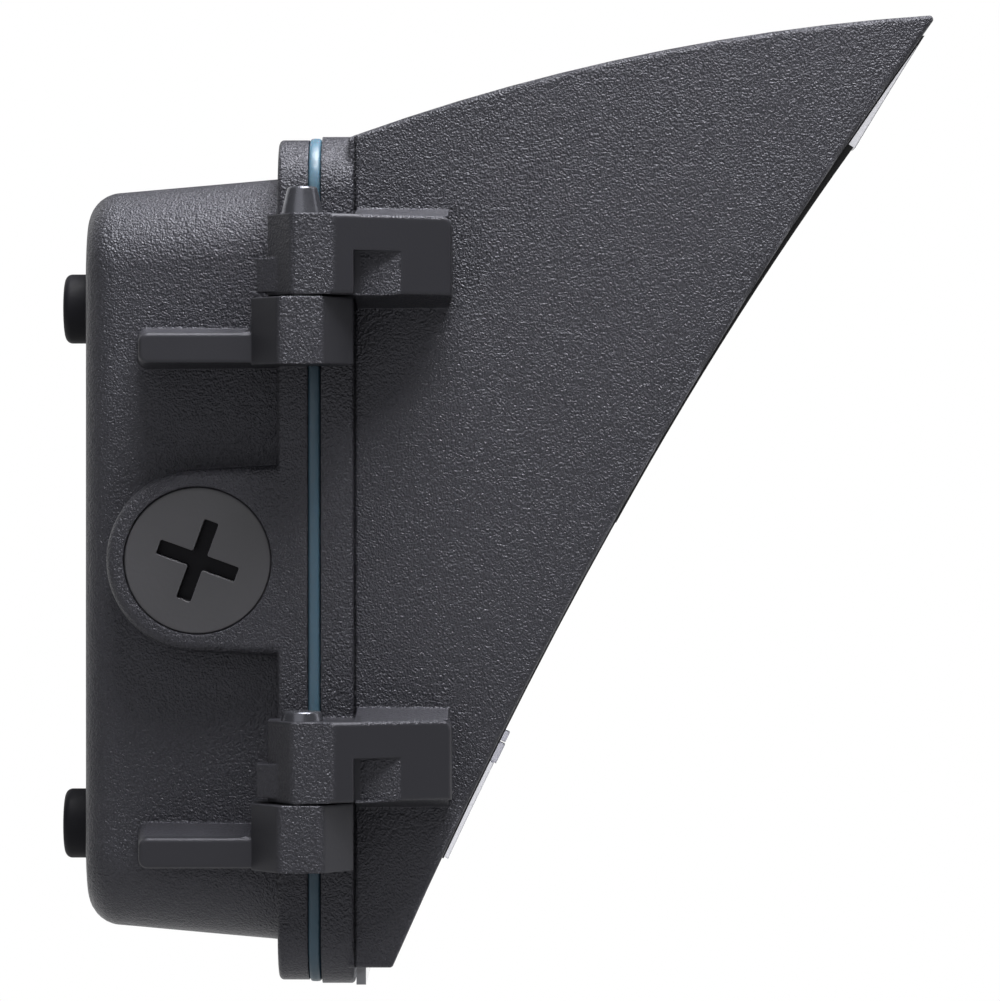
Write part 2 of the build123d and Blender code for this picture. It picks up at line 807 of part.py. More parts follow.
def lens_gasket(side):
    """L-shaped rubber between the lens, the cheek and its ledge."""
    seat = -lens_recess - lens_thickness
    back = seat - lens_seat
    under_roof = Pos(*top_centre) * Circle(top_radius - hood_wall - lens_joint_gap)
    lip = even_band(gasket_end, slant_top[1], back, side_lip_proud) & under_roof
    foot = even_band(rail_low, slant_top[1], back, seat) & under_roof
    shape = across(lip, lens_edge, cheek_inner)
    shape += across(foot, cheek_inner - ledge_width, cheek_inner)
    return on_side(shape, side)


def lens_side_strip(side):
    """Black strip that holds a side of the lens; it fades towards its lower end."""
    outline = slant_band(strip_low, upper_rib[0], side_lip_proud, side_lip_proud + strip_step,
                         strip_middle_proud, upper_rib_proud + strip_step)
    strip = across(outline, lens_edge - strip_width, lens_edge)
    return on_side(strip, side)


def lens_clip(side):
    """Small clear clip between the side strip and the lower rib."""
    block_part = even_band(*clip_block, -lens_recess, clip_proud)
    button = even_band(*clip_button, -lens_recess, clip_proud - clip_button_step)
    bridge = even_band(clip_block[0], clip_button[1], -lens_recess, clip_bridge_proud)
    clip = across(block_part + button + bridge, lens_edge - lens_rib_width, lens_edge - clip_side_gap)
    return on_side(clip, side)


# Light engine: tray, reflector, wedge, board, LED packages, screws

def pan_screw(x, z, bearing, length):
    """Pan head screw that points back, with its head on the plane at depth bearing."""
    shaft = rod(x, z, small_screw_radius, bearing - length, bearing)
    head = rod(x, z, small_head_radius, bearing, bearing + small_head_height)
    head = fillet(head.faces().sort_by(Axis.Y)[0].edges(), small_head_fillet)
    return shaft + head - cross_recess(x, z, bearing + small_head_height, small_cross)


def led_tray():
    plate = forward(RectangleRounded(tray_width, tray_height, tray_corner), tray_depth, tray_front)
    for x, z in post_places():
        plate -= rod(x, z, small_screw_hole, tray_depth, tray_front)
    plate -= rod(*grommet_centre, grommet_radius - grommet_lip, tray_depth, tray_front)
    return plate


def reflector():
    """White sheet on the tray with a raised lip and a window for the wedge."""
    back = tray_front
    front = back + reflector_thickness
    sheet = forward(RectangleRounded(tray_width, tray_height, tray_corner), back, front)
    lip = frame_band(tray_width, tray_height, tray_corner, reflector_thickness)
    sheet += forward(lip, back, back + reflector_lip)
    half = wedge_width / 2 + reflector_gap
    sheet -= block(-half, half, back, front, wedge_bottom - reflector_gap, wedge_top + reflector_gap)
    for x, z in post_places():
        sheet -= rod(x, z, small_head_radius + head_clearance, back, front)
    sheet -= rod(*grommet_centre, grommet_radius + head_clearance, back, front)
    return sheet


def wedge_points(inset):
    """Corners of the wedge's outline, moved in by inset on its three sides."""
    rise = wedge_top - wedge_bottom
    length = math.hypot(rise, wedge_reach)
    top = wedge_top - inset
    back = tray_front + inset
    shift = inset * length / rise
    slope = wedge_reach / rise
    front = tray_front + wedge_reach - shift - slope * inset
    bottom = wedge_bottom + (inset + shift) / slope
    return [(back, top), (front, top), (back, bottom)]


def led_wedge():
    outer = Polygon(*wedge_points(0.0), align=None)
    inner = Polygon(*wedge_points(wedge_wall), align=None)
    body = across(outer - inner, -wedge_width / 2, wedge_width / 2)
    for x, y in board_screw_places():
        hole = board_plane(0.0) * Pos(x, y) * Circle(small_screw_radius)
        body -= extrude(hole, amount=-2 * wedge_wall)
    return body


def board_plane(lift):
    """Plane on the wedge's slanted face, lifted off it."""
    rise = wedge_top - wedge_bottom
    length = math.hypot(rise, wedge_reach)
    out = rise / length
    down = wedge_reach / length
    middle_depth = tray_front + wedge_reach / 2 + lift * out
    middle_up = (wedge_top + wedge_bottom) / 2 - lift * down
    return Plane(origin=(0, -middle_depth, centre_up + middle_up), x_dir=(1, 0, 0), z_dir=(0, -out, -down))


def led_places():
    places = []
    for column in range(led_columns):
        for row in range(led_rows):
            x = (column - (led_columns - 1) / 2) * led_pitch_across
            y = (row - (led_rows - 1) / 2) * led_pitch_up
            places.append((x, y))
    return places


def board_screw_places():
    return [(x, y) for x in (-board_screw_across / 2, board_screw_across / 2)
            for y in (-board_screw_up / 2, board_screw_up / 2)]


def led_board():
    outline = board_plane(0.0) * RectangleRounded(board_width, board_length, board_corner)
    body = extrude(outline, amount=board_thickness)
    for x, y in board_screw_places():
        body -= extrude(board_plane(0.0) * Pos(x, y) * Circle(small_screw_hole), amount=board_thickness)
    return body


def led_packages():
    lights = []
    for x, y in led_places():
        base = board_plane(board_thickness) * Pos(x, y) * Rectangle(led_side, led_side)
        body = extrude(base, amount=led_height)
        dome = board_plane(board_thickness + led_height) * Pos(x, y) * Sphere(led_dome_radius, arc_size1=0)
        lights.append((body + dome).solid())
    return group(lights)


def board_screws():
    slot_length, slot_width, slot_depth = board_screw_slot
    screws = []
    for x, y in board_screw_places():
        top = board_plane(board_thickness) * Pos(x, y)
        head = extrude(top * Circle(small_head_radius), amount=small_head_height)
        shaft = extrude(top * Circle(small_screw_radius), amount=-board_screw_length)
        head_front = board_plane(board_thickness + small_head_height) * Pos(x, y)
        slot = extrude(head_front * Rectangle(slot_length, slot_width), amount=-slot_depth)
        screws.append((head + shaft - slot).solid())
    return group(screws)


connector_place = (board_width / 2 - connector_width, 0.0)


def board_connector():
    base = Pos(*connector_place) * Rectangle(connector_width, connector_length)
    base = board_plane(board_thickness) * base
    return extrude(base, amount=connector_height)


def tray_grommet():
    low = tray_depth - grommet_lip
    high = tray_front + reflector_thickness + grommet_lip
    body = rod(*grommet_centre, grommet_radius - grommet_lip, low, high)
    body += rod(*grommet_centre, grommet_radius, low, tray_depth)
    body += rod(*grommet_centre, grommet_radius, tray_front, high)
    return body - rod(*grommet_centre, grommet_bore, low, high)


# Wiring space: driver, surge protector, push-in connectors, ground screw and leads

def driver_case():
    base = inner_floor + pad_height
    x, z = driver_centre
    outline = Pos(x, z) * RectangleRounded(driver_length, driver_height, driver_corner)
    body = forward(outline, base, base + driver_base_depth)
    tabs = Pos(x, z) * RectangleRounded(driver_length + 2 * driver_tab, driver_tab_height, driver_corner)
    body += forward(tabs, base, base + driver_tab_thickness)
    for place in driver_tab_places():
        body -= rod(*place, small_screw_hole, base, base + driver_tab_thickness)
    return body


def driver_cover():
    base = inner_floor + pad_height + driver_base_depth
    outline = Pos(*driver_centre) * RectangleRounded(driver_length, driver_height, driver_corner)
    body = forward(outline, base, base + driver_cover_depth)
    return fillet(body.faces().sort_by(Axis.Y)[0].edges(), driver_edge_radius)


def driver_screws():
    bearing = inner_floor + pad_height + driver_tab_thickness
    return group(pan_screw(*place, bearing, driver_screw_length).solid() for place in driver_tab_places())


def tray_screws():
    return group(pan_screw(*place, tray_front, small_screw_length).solid() for place in post_places())


def surge_protector():
    x, z = surge_centre
    width, height, depth = surge_size
    outline = Pos(x, z) * RectangleRounded(width, height, surge_corner)
    body = forward(outline, inner_floor, inner_floor + depth)
    return fillet(body.faces().sort_by(Axis.Y)[0].edges(), surge_edge_radius)


def push_connector(index):
    """Push-in connector with a pair of open ports at each end."""
    x = connector_first[0] + index * connector_pitch
    z = connector_first[1]
    width, length, depth = push_size
    body = block(x - width / 2, x + width / 2, inner_floor, inner_floor + depth, z - length / 2,
                 z + length / 2)
    body = fillet(body.edges().filter_by(Axis.Y), push_corner)
    for shift in (-width / 4, width / 4):
        for end in (-length / 2, length / 2):
            place = Pos(x + shift, -inner_floor - depth / 2, centre_up + z + end)
            body -= place * Cylinder(port_radius, 2 * port_depth)
    return body


def ground_screw():
    bearing = inner_floor + ground_boss_height + terminal_thickness
    head_radius, head_height = ground_head
    slot_length, slot_width, slot_depth = ground_slot
    front = bearing + head_height
    place = Pos(*ground_centre)
    shaft = rod(*ground_centre, small_screw_radius, inner_floor + ground_screw_floor, bearing)
    head = forward(place * RegularPolygon(head_radius, 6), bearing, front)
    slot = forward(place * Rectangle(slot_length, slot_width), front - slot_depth, front)
    return shaft + head - slot


def ground_terminal():
    """Ring terminal under the ground screw, with a sleeve for its lead."""
    low = inner_floor + ground_boss_height
    high = low + terminal_thickness
    x, z = ground_centre
    neck_length, neck_half = terminal_neck
    near, far_end = sleeve_reach
    ring = Pos(x, z) * Circle(terminal_radius) + span(x - neck_length, x, z - neck_half, z + neck_half)
    body = forward(ring, low, high)
    body += rod_across((low + high) / 2, z, sleeve_radius, x - far_end, x - near)
    return body - rod(x, z, small_screw_radius, low, high)


def bend_radii(points):
    """Arc radius of each corner: 0.45 of the shorter run over the tangent of half the turn."""
    radii = []
    for before, corner, after in zip(points, points[1:], points[2:]):
        run_in = Vector(*corner) - Vector(*before)
        run_out = Vector(*after) - Vector(*corner)
        half_turn = math.radians(run_in.get_angle(run_out)) / 2
        shorter = min(run_in.length, run_out.length)
        radii.append(0.45 * shorter / math.tan(half_turn))
    return radii


def lead(route):
    """Round wire along a route of (x, depth, height) points."""
    points = [(x, -depth, centre_up + height) for x, depth, height in route]
    radii = bend_radii(points)
    print("lead radii", [round(radius, 1) for radius in radii])
    path = FilletPolyline(*points, radius=radii)
    section = Plane(origin=path @ 0, z_dir=path % 0) * Circle(lead_radius)
    return sweep(section, path)


def driver_lead_routes():
    """Leads from the driver's left end up to the first two push-in connectors."""
    left = driver_centre[0] - driver_length / 2
    z = driver_centre[1]
    mid = inner_floor + push_size[2] / 2
    line_x = connector_first[0] - push_size[0] / 4
    neutral_x = connector_first[0] + connector_pitch - push_size[0] / 4
    low = connector_first[1] - push_size[1] / 2
    rise = low - z
    step = lead_step
    line = [
        (left, 2 * step, z + 0.8 * step), (left - 0.9 * step, 2 * step, z + 0.8 * step),
        (left - 1.4 * step, 2 * step, z + 0.32 * rise), (left - step, 1.8 * step, z + 0.58 * rise),
        (line_x - 0.5 * step, 1.5 * step, low - 0.26 * rise), (line_x, mid, low - 0.13 * rise),
        (line_x, mid, low)]
    neutral = [
        (left, 2 * step, z - 0.4 * step), (left - 1.4 * step, 2 * step, z - 0.4 * step),
        (left - 2 * step, 2.2 * step, z + 0.2 * rise),
        (left - 1.4 * step, 2.3 * step, z + 0.52 * rise),
        (line_x + 0.2 * step, 2.3 * step, low - 0.19 * rise),
        (neutral_x - 0.4 * step, 1.8 * step, low - 0.19 * rise), (neutral_x, mid, low - 0.12 * rise),
        (neutral_x, mid, low)]
    return {"driver_line_lead": line, "driver_neutral_lead": neutral}


def ground_lead_routes():
    """Lead from the ring terminal's sleeve to the third push-in connector."""
    depth = inner_floor + ground_boss_height + terminal_thickness / 2
    x, z = ground_centre
    third_x = connector_first[0] + 2 * connector_pitch - push_size[0] / 4
    mid = inner_floor + push_size[2] / 2
    low = connector_first[1] - push_size[1] / 2
    start = x - sleeve_reach[1]
    step = lead_step
    route = [
        (start, depth, z), (start - 0.7 * step, depth, z), (start - step, depth, z - step),
        (third_x + 0.6 * step, mid + 0.1 * step, low - step), (third_x, mid, low - 0.7 * step),
        (third_x, mid, low)]
    return {"ground_lead": route}


def surge_lead_routes():
    """Leads from the surge protector over the top to the first two push-in connectors."""
    x = surge_centre[0] - surge_size[0] / 2
    z = surge_centre[1]
    mid = inner_floor + push_size[2] / 2
    line_x = connector_first[0] + push_size[0] / 4
    neutral_x = line_x + connector_pitch
    high = connector_first[1] + push_size[1] / 2
    step = lead_step
    line = [
        (x, 1.8 * step, z + 0.6 * step), (x - 0.8 * step, 1.8 * step, z + 0.6 * step),
        (x - 1.8 * step, 2.2 * step, high + 0.9 * step),
        (x - 5.2 * step, 2.2 * step, high + 1.1 * step),
        (line_x + 1.4 * step, 2 * step, high + 1.2 * step), (line_x, 1.6 * step, high + 0.9 * step),
        (line_x, mid, high + 0.3 * step), (line_x, mid, high - 0.4 * step)]
    neutral = [
        (x, 1.4 * step, z + 0.6 * step), (x - 0.8 * step, 1.4 * step, z + 0.6 * step),
        (x - 1.8 * step, 1.4 * step, high + 0.4 * step),
        (x - 4.6 * step, 1.35 * step, high + 0.6 * step),
        (neutral_x + 0.8 * step, 1.3 * step, high + 0.8 * step), (neutral_x, mid, high + 0.5 * step),
        (neutral_x, mid, high - 0.4 * step)]
    return {"surge_line_lead": line, "surge_neutral_lead": neutral}


def board_lead_routes():
    """Leads from the driver's right end through the grommet to the connector on the board."""
    right = driver_centre[0] + driver_length / 2
    z = driver_centre[1]
    x, up = grommet_centre
    place = board_plane(board_thickness + connector_height / 2) * Pos(*connector_place)
    socket = place.position + Vector(connector_width / 2, 0, 0)
    end_depth = -socket.Y
    end_height = socket.Z - centre_up
    step = lead_step
    routes = {}
    for name, shift in (("board_plus_lead", lead_spread), ("board_minus_lead", -lead_spread)):
        routes[name] = [
            (right, 2.2 * step, z - shift), (right + 0.9 * step, 2.2 * step, z - shift),
            (right + 1.9 * step + shift, 2.25 * step, z + 1.2 * step - shift),
            (x + shift, 2.4 * step, up - 1.4 * step - shift), (x + shift, 3.2 * step, up - shift),
            (x + shift, tray_front + 0.6 * step, up + shift),
            (x - 0.3 * step + shift, end_depth - 0.3 * step, up + 0.2 * step + shift),
            (socket.X + 0.8 * step, end_depth, end_height + shift),
            (socket.X, end_depth, end_height + shift)]
    return routes


# Every piece in its own file

def build_all():
    save("rear_housing", rear_housing())
    save("door_hood", door_hood())
    save("door_gasket", door_gasket())
    for name in knuckle_tops:
        save(f"hinge_pin_{name}", hinge_pin(name))
    for number, place in enumerate(wall_screw_places(), start=1):
        save(f"wall_bumper_{number}", wall_bumper(*place))
    for name, side in sides.items():
        save(f"conduit_plug_{name}", on_side(conduit_plug(), side))
        save(f"plug_seal_{name}", on_side(plug_seal(), side))
        save(f"lens_gasket_{name}", lens_gasket(side))
        save(f"lens_side_strip_{name}", lens_side_strip(side))
        save(f"lens_clip_{name}", lens_clip(side))
    for name, height in lug_heights.items():
        save(f"door_screw_{name}", door_screw(height))
        save(f"screw_ring_{name}", screw_ring(height))
        save(f"screw_insert_{name}", screw_insert(height))
    save("lens", lens())
    save("led_tray", led_tray())
    save("reflector", reflector())
    save("led_wedge", led_wedge())
    save("led_board", led_board())
    save("led_packages", led_packages())
    save("board_screws", board_screws())
    save("board_connector", board_connector())
    save("tray_grommet", tray_grommet())
    save("tray_screws", tray_screws())
    save("driver_case", driver_case())
    save("driver_cover", driver_cover())
    save("driver_screws", driver_screws())
    save("surge_protector", surge_protector())
    for index, name in enumerate(("line", "neutral", "ground")):
        save(f"push_connector_{name}", push_connector(index))
    save("ground_screw", ground_screw())
    save("ground_terminal", ground_terminal())
    routes = {**driver_lead_routes(), **ground_lead_routes(), **surge_lead_routes(), **board_lead_routes()}
    for name, route in routes.items():
        save(name, lead(route))


build_all()
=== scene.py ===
import bpy
import bmesh
import json
import math
import numpy as np
from mathutils import Matrix


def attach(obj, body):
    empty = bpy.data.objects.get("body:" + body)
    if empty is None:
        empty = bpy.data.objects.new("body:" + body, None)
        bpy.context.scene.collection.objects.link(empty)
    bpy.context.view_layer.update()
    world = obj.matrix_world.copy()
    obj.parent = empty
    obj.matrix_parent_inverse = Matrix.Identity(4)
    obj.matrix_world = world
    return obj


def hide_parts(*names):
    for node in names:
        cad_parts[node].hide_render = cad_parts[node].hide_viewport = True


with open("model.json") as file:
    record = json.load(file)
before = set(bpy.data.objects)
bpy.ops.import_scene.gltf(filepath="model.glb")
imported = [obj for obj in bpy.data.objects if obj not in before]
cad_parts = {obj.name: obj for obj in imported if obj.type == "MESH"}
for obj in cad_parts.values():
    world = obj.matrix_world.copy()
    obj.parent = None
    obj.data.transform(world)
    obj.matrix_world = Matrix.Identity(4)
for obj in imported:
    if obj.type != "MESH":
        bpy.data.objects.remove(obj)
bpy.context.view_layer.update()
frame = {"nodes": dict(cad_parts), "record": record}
nodes = frame["nodes"]
print("stage: frame loaded,", len(nodes), "nodes")

mm = 0.001
# Heights below count from the door's middle, which is this far above the origin, in mm.
doorMiddle = 1.4


# Points are (x, depth, height) in mm; depth counts from the wall towards the front.
def meshFrom(name, points, faces):
    place = np.array(points, dtype=float).reshape(-1, 3)
    place = np.stack([place[:, 0], -place[:, 1], place[:, 2] + doorMiddle], axis=1) * mm
    mesh = bpy.data.meshes.new(name)
    mesh.from_pydata(place, [], [tuple(map(int, face)) for face in faces])
    mesh.polygons.foreach_set("use_smooth", np.full(len(mesh.polygons), True))
    piece = bpy.data.objects.new(name, mesh)
    bpy.context.scene.collection.objects.link(piece)
    return piece


# Quads between neighbouring points of a grid; a closed direction wraps round.
def gridFaces(rowCount, columnCount, closeRows=False, closeColumns=False, first=0):
    rows = np.arange(rowCount if closeRows else rowCount - 1)
    columns = np.arange(columnCount if closeColumns else columnCount - 1)
    r, c = np.meshgrid(rows, columns, indexing="ij")
    nextR = (r + 1) % rowCount
    nextC = (c + 1) % columnCount
    quads = np.stack([r * columnCount + c, r * columnCount + nextC,
                      nextR * columnCount + nextC, nextR * columnCount + c], axis=-1)
    return (quads.reshape(-1, 4) + first).tolist()


# A closed tube of loops (rowCount, columnCount, 3), with a flat cap at both ends.
def cappedFaces(rowCount, columnCount, first=0):
    last = first + (rowCount - 1) * columnCount
    caps = [list(range(first, first + columnCount)), list(range(last, last + columnCount))]
    return gridFaces(rowCount, columnCount, closeColumns=True, first=first) + caps


def outwards(piece, sharpAbove=40):
    work = bmesh.new()
    work.from_mesh(piece.data)
    bmesh.ops.remove_doubles(work, verts=work.verts, dist=1e-6)
    bmesh.ops.recalc_face_normals(work, faces=work.faces)
    limit = math.radians(sharpAbove)
    for edge in work.edges:
        edge.smooth = edge.calc_face_angle(0.0) < limit
    work.to_mesh(piece.data)
    work.free()
    return piece


# Centre and radius of the circle through three points.
def circleThrough(a, b, c):
    system = np.array([[b[0] - a[0], b[1] - a[1]], [c[0] - a[0], c[1] - a[1]]]) * 2
    squares = [b[0] ** 2 + b[1] ** 2 - a[0] ** 2 - a[1] ** 2,
               c[0] ** 2 + c[1] ** 2 - a[0] ** 2 - a[1] ** 2]
    x, y = np.linalg.solve(system, squares)
    return np.array([x, y]), math.hypot(a[0] - x, a[1] - y)


# Top curve and slanted edge of the hood, each a circle through three points.
hood = {"topRoot": (54.3, 76.1), "topMiddle": (101.5, 89.7), "tip": (158.2, 97.65), "wall": 3.0,
        "slantTop": (158.3, 97.1), "slantMiddle": (100.9, 7.1), "slantBottom": (61.46, -72.1)}
topCentre, topRadius = circleThrough(hood["topRoot"], hood["topMiddle"], hood["tip"])
slantCentre, slantRadius = circleThrough(hood["slantTop"], hood["slantMiddle"], hood["slantBottom"])


# Points (depth, height) of the slanted edge at given heights, moved out of the hood by proud.
def slantAt(heights, proud):
    rise = np.asarray(heights, dtype=float) - slantCentre[1]
    run = np.sqrt(slantRadius ** 2 - rise ** 2)
    scale = (slantRadius - np.asarray(proud, dtype=float)) / slantRadius
    return np.stack([slantCentre[0] - run * scale, slantCentre[1] + rise * scale], axis=-1)


# One node socket. Arithmetic on it adds Math nodes to its finish.
class Wire:
    def __init__(self, finish, socket):
        self.finish = finish
        self.socket = socket

    def math(self, operation, *others):
        values = {number: value for number, value in enumerate((self, *others))}
        return self.finish.add("ShaderNodeMath", {"operation": operation}, values)

    def __add__(self, other):
        return self.math("ADD", other)

    def __sub__(self, other):
        return self.math("SUBTRACT", other)

    def __mul__(self, other):
        return self.math("MULTIPLY", other)

    def __rsub__(self, other):
        return self.finish.add("ShaderNodeMath", {"operation": "SUBTRACT"}, {0: other, 1: self})

    __radd__ = __add__
    __rmul__ = __mul__

    def clamp(self):
        return self.finish.add("ShaderNodeClamp", {}, {"Value": self})

    # 0 below low, 1 above high, smooth between
    def step(self, low, high):
        return self.finish.add("ShaderNodeMapRange", {"interpolation_type": "SMOOTHSTEP"},
                               {"Value": self, "From Min": low, "From Max": high})


# A material with one Principled shader, and the nodes that its pattern needs.
class Finish:
    def __init__(self, name, base, **fixed):
        self.material = bpy.data.materials.new(name)
        self.material.use_nodes = True
        self.tree = self.material.node_tree
        self.tree.nodes.clear()
        self.shader = self.tree.nodes.new("ShaderNodeBsdfPrincipled")
        output = self.tree.nodes.new("ShaderNodeOutputMaterial")
        self.tree.links.new(self.shader.outputs[0], output.inputs[0])
        self.base = tuple(base)
        self.put("Base Color", (*base, 1.0))
        for words, value in fixed.items():
            self.put(words.replace("_", " "), value)

    def add(self, kind, settings, values, out=0):
        node = self.tree.nodes.new(kind)
        for key, value in settings.items():
            setattr(node, key, value)
        for key, value in values.items():
            if isinstance(value, Wire):
                self.tree.links.new(value.socket, node.inputs[key])
            else:
                node.inputs[key].default_value = value
        return Wire(self, node.outputs[out])

    def put(self, socketName, value):
        if isinstance(value, Wire):
            self.tree.links.new(value.socket, self.shader.inputs[socketName])
        else:
            self.shader.inputs[socketName].default_value = value

    def place(self, stretch=(1, 1, 1), turn=(0, 0, 0)):
        spot = self.add("ShaderNodeTexCoord", {}, {}, out="Object")
        if (tuple(stretch), tuple(turn)) == ((1, 1, 1), (0, 0, 0)):
            return spot
        return self.add("ShaderNodeMapping", {"vector_type": "POINT"},
                        {"Vector": spot, "Rotation": turn, "Scale": stretch})

    # Sizes of noise and cells are in mm.
    def noise(self, spot, size, detail=2.0, rough=0.5, warp=0.0):
        values = {"Vector": spot, "Scale": 1000 / size, "Detail": detail, "Roughness": rough,
                  "Distortion": warp}
        return self.add("ShaderNodeTexNoise", {}, values)

    def cells(self, spot, size, soft):
        return self.add("ShaderNodeTexVoronoi", {"feature": "SMOOTH_F1"},
                        {"Vector": spot, "Scale": 1000 / size, "Smoothness": soft})

    def axes(self, spot):
        node = self.add("ShaderNodeSeparateXYZ", {}, {"Vector": spot}).socket.node
        return [Wire(self, socket) for socket in node.outputs]

    def mix(self, factor, first, second):
        colours = [value if isinstance(value, Wire) else (*value, 1.0) for value in (first, second)]
        values = {0: factor, 6: colours[0], 7: colours[1]}
        return self.add("ShaderNodeMix", {"data_type": "RGBA"}, values, out=2)

    def tone(self, amount):
        return tuple(min(1.0, part * amount) for part in self.base)

    def softEdge(self, radius):
        return self.add("ShaderNodeBevel", {"samples": 4}, {"Radius": radius * mm})

    # 1 where the rounded normal leaves the flat one, which is along edges and corners
    def edgeMask(self, rounded, gain):
        flat = self.add("ShaderNodeNewGeometry", {}, {}, out="Normal")
        return ((1 - self.dot(rounded, flat)) * gain).clamp()

    def dot(self, first, second):
        return self.add("ShaderNodeVectorMath", {"operation": "DOT_PRODUCT"},
                        {0: first, 1: second}, out="Value")

    def bump(self, height, depth, normal=None):
        values = {"Height": height, "Distance": depth * mm, "Strength": 1.0}
        if normal:
            values["Normal"] = normal
        self.put("Normal", self.add("ShaderNodeBump", {}, values))


# Fine textured powder coat: a dark coat whose grain, from fine noise and soft cells, catches the
# light in small glints, and whose grain peaks carry a painted highlight. The grain fades on the
# outer faces of the arms, knuckles and ribs, which stay smooth and are darkened with painted shade.
# Its edges are pale, partly as wear and partly as a painted highlight on upward-facing edges.
# Sizes are in mm, and shares, tones and spans have no unit.
powderLook = {"base": (0.0235, 0.0235, 0.0285), "gloss": 0.48, "glossTint": (0.90, 0.90, 1.0, 1.0),
              "rough": 0.36, "roughSmooth": 0.12, "roughEdge": 0.06, "roughPatch": 0.08,
              "grainSize": 0.37, "grainWarp": 0.15, "grainShare": 0.8, "cellSize": 0.66,
              "cellSoftness": 0.6, "cellShare": 0.3, "grainLevel": 0.55, "grainDepth": 0.46,
              "grainLost": 0.95, "speckSize": 0.5, "patchSize": 45.0, "patchSpan": (0.3, 0.7),
              "patchTones": (0.93, 1.07), "peakSpan": (0.36, 0.68), "peakHighlightTone": 1.6,
              "smoothShadeTone": 0.66, "edgeRadius": 0.6, "edgeGain": 3.0, "edgeTone": 4.0,
              "edgeLeast": 0.3, "edgeUpwardHighlight": 0.9, "edgeSpeck": 0.5}

# Where the coat is smooth, in metres: reach counts from the middle towards the hinge side, depth
# from the wall, and the pairs of heights from the origin.
smoothPlaces = {"armsFrom": 0.1190, "armsDepth": 0.0556, "sidesFrom": 0.1266, "noseFrom": 0.1350,
                "noseFront": 0.0503, "fade": 0.0006, "pocketFade": 0.0002, "knuckleGrain": 0.7,
                "doorKnuckles": ((0.0483, 0.0617), (-0.0409, -0.0275)),
                "pockets": ((0.0481, 0.0557), (-0.0411, -0.0335)), "pocketDepths": (0.0545, 0.0628)}


# 1 where the value lies inside any of the given ranges
def inRanges(value, ranges, fade):
    parts = [value.step(low, low + fade) * (1 - value.step(high, high + fade))
             for low, high in ranges]
    total = parts[0]
    for part in parts[1:]:
        total = total + part
    return total


# 1 on the outer faces of the arms, knuckles and ribs
def smoothMask(coat, spot, places):
    x, y, z = coat.axes(spot)
    reach = -1 * x
    depth = -1 * y
    fade = places["fade"]
    small = places["pocketFade"]
    forward = depth.step(places["armsDepth"], places["armsDepth"] + fade)
    doorKnuckles = inRanges(z, places["doorKnuckles"], fade)
    pockets = inRanges(z, places["pockets"], small)
    pockets = pockets * inRanges(depth, [places["pocketDepths"]], small)
    arms = reach.step(places["armsFrom"], places["armsFrom"] + fade) * forward * doorKnuckles
    arms = arms * (1 - pockets)
    sides = reach.step(places["sidesFrom"], places["sidesFrom"] + fade) * (1 - forward)
    sides = sides * (1 - reach.step(places["noseFrom"], places["noseFrom"] + fade))
    noseFront = depth.step(places["noseFront"], places["noseFront"] + fade)
    sides = sides * (1 - places["knuckleGrain"] * doorKnuckles * (1 - noseFront))
    return (arms + sides).clamp()


def powderCoat(name, look, places):
    coat = Finish(name, look["base"], Specular_IOR_Level=look["gloss"],
                  Specular_Tint=look["glossTint"])
    spot = coat.place()
    fine = coat.noise(spot, look["grainSize"], warp=look["grainWarp"])
    lumps = coat.cells(spot, look["cellSize"], look["cellSoftness"])
    patches = coat.noise(spot, look["patchSize"], detail=3.0)
    specks = coat.noise(spot, look["speckSize"], detail=1.0)
    smooth = smoothMask(coat, spot, places)
    grain = fine * look["grainShare"] + (1 - lumps) * look["cellShare"] - look["grainLevel"]
    height = grain * (1 - look["grainLost"] * smooth)
    rounded = coat.softEdge(look["edgeRadius"])
    edges = coat.edgeMask(rounded, look["edgeGain"])
    patchTones = [coat.tone(amount) for amount in look["patchTones"]]
    tinted = coat.mix(patches.step(*look["patchSpan"]), *patchTones)
    # painted highlight: the grain's peaks are lightened, except on the smooth faces
    peakHighlightMask = fine.step(*look["peakSpan"]) * (1 - smooth)
    peakHighlighted = coat.mix(peakHighlightMask, tinted, coat.tone(look["peakHighlightTone"]))
    # painted shade: the smooth outer faces get a darker copy of the coat's colour
    paintedShadeOnSmooth = coat.mix(smooth, peakHighlighted, coat.tone(look["smoothShadeTone"]))
    # pale edges: a small share on every edge as wear, plus a painted highlight on upward-facing
    # edges
    upward = coat.dot(rounded, (0, 0, 1)).clamp()
    shown = edges * (look["edgeLeast"] + look["edgeUpwardHighlight"] * upward) * (look["edgeSpeck"] + specks)
    coat.put("Base Color", coat.mix(shown, paintedShadeOnSmooth, coat.tone(look["edgeTone"])))
    coat.put("Roughness", look["rough"] + look["roughSmooth"] * smooth - look["roughEdge"] * edges
             + look["roughPatch"] * (patches - 0.5))
    coat.bump(height, look["grainDepth"], normal=rounded)
    return coat.material


skinLook = {"patchSize": 22.0, "patchDetail": 3.0, "roughPores": 0.10, "roughPatch": 0.06}


# Smooth moulded or painted surface: faint patches, fine pores and a slight orange peel.
def smoothSkin(name, base, rough, patch=0.06, peel=1.2, peelDepth=0.01, roundness=0.0, **fixed):
    skin = Finish(name, base, **fixed)
    spot = skin.place()
    cloud = skin.noise(spot, skinLook["patchSize"], detail=skinLook["patchDetail"])
    pores = skin.noise(spot, peel)
    skin.put("Base Color", skin.mix(cloud, skin.tone(1 - patch), skin.tone(1 + patch)))
    skin.put("Roughness", rough + skinLook["roughPores"] * (pores - 0.5)
             + skinLook["roughPatch"] * (cloud - 0.5))
    skin.bump(pores, peelDepth, normal=skin.softEdge(roundness) if roundness else None)
    return skin.material


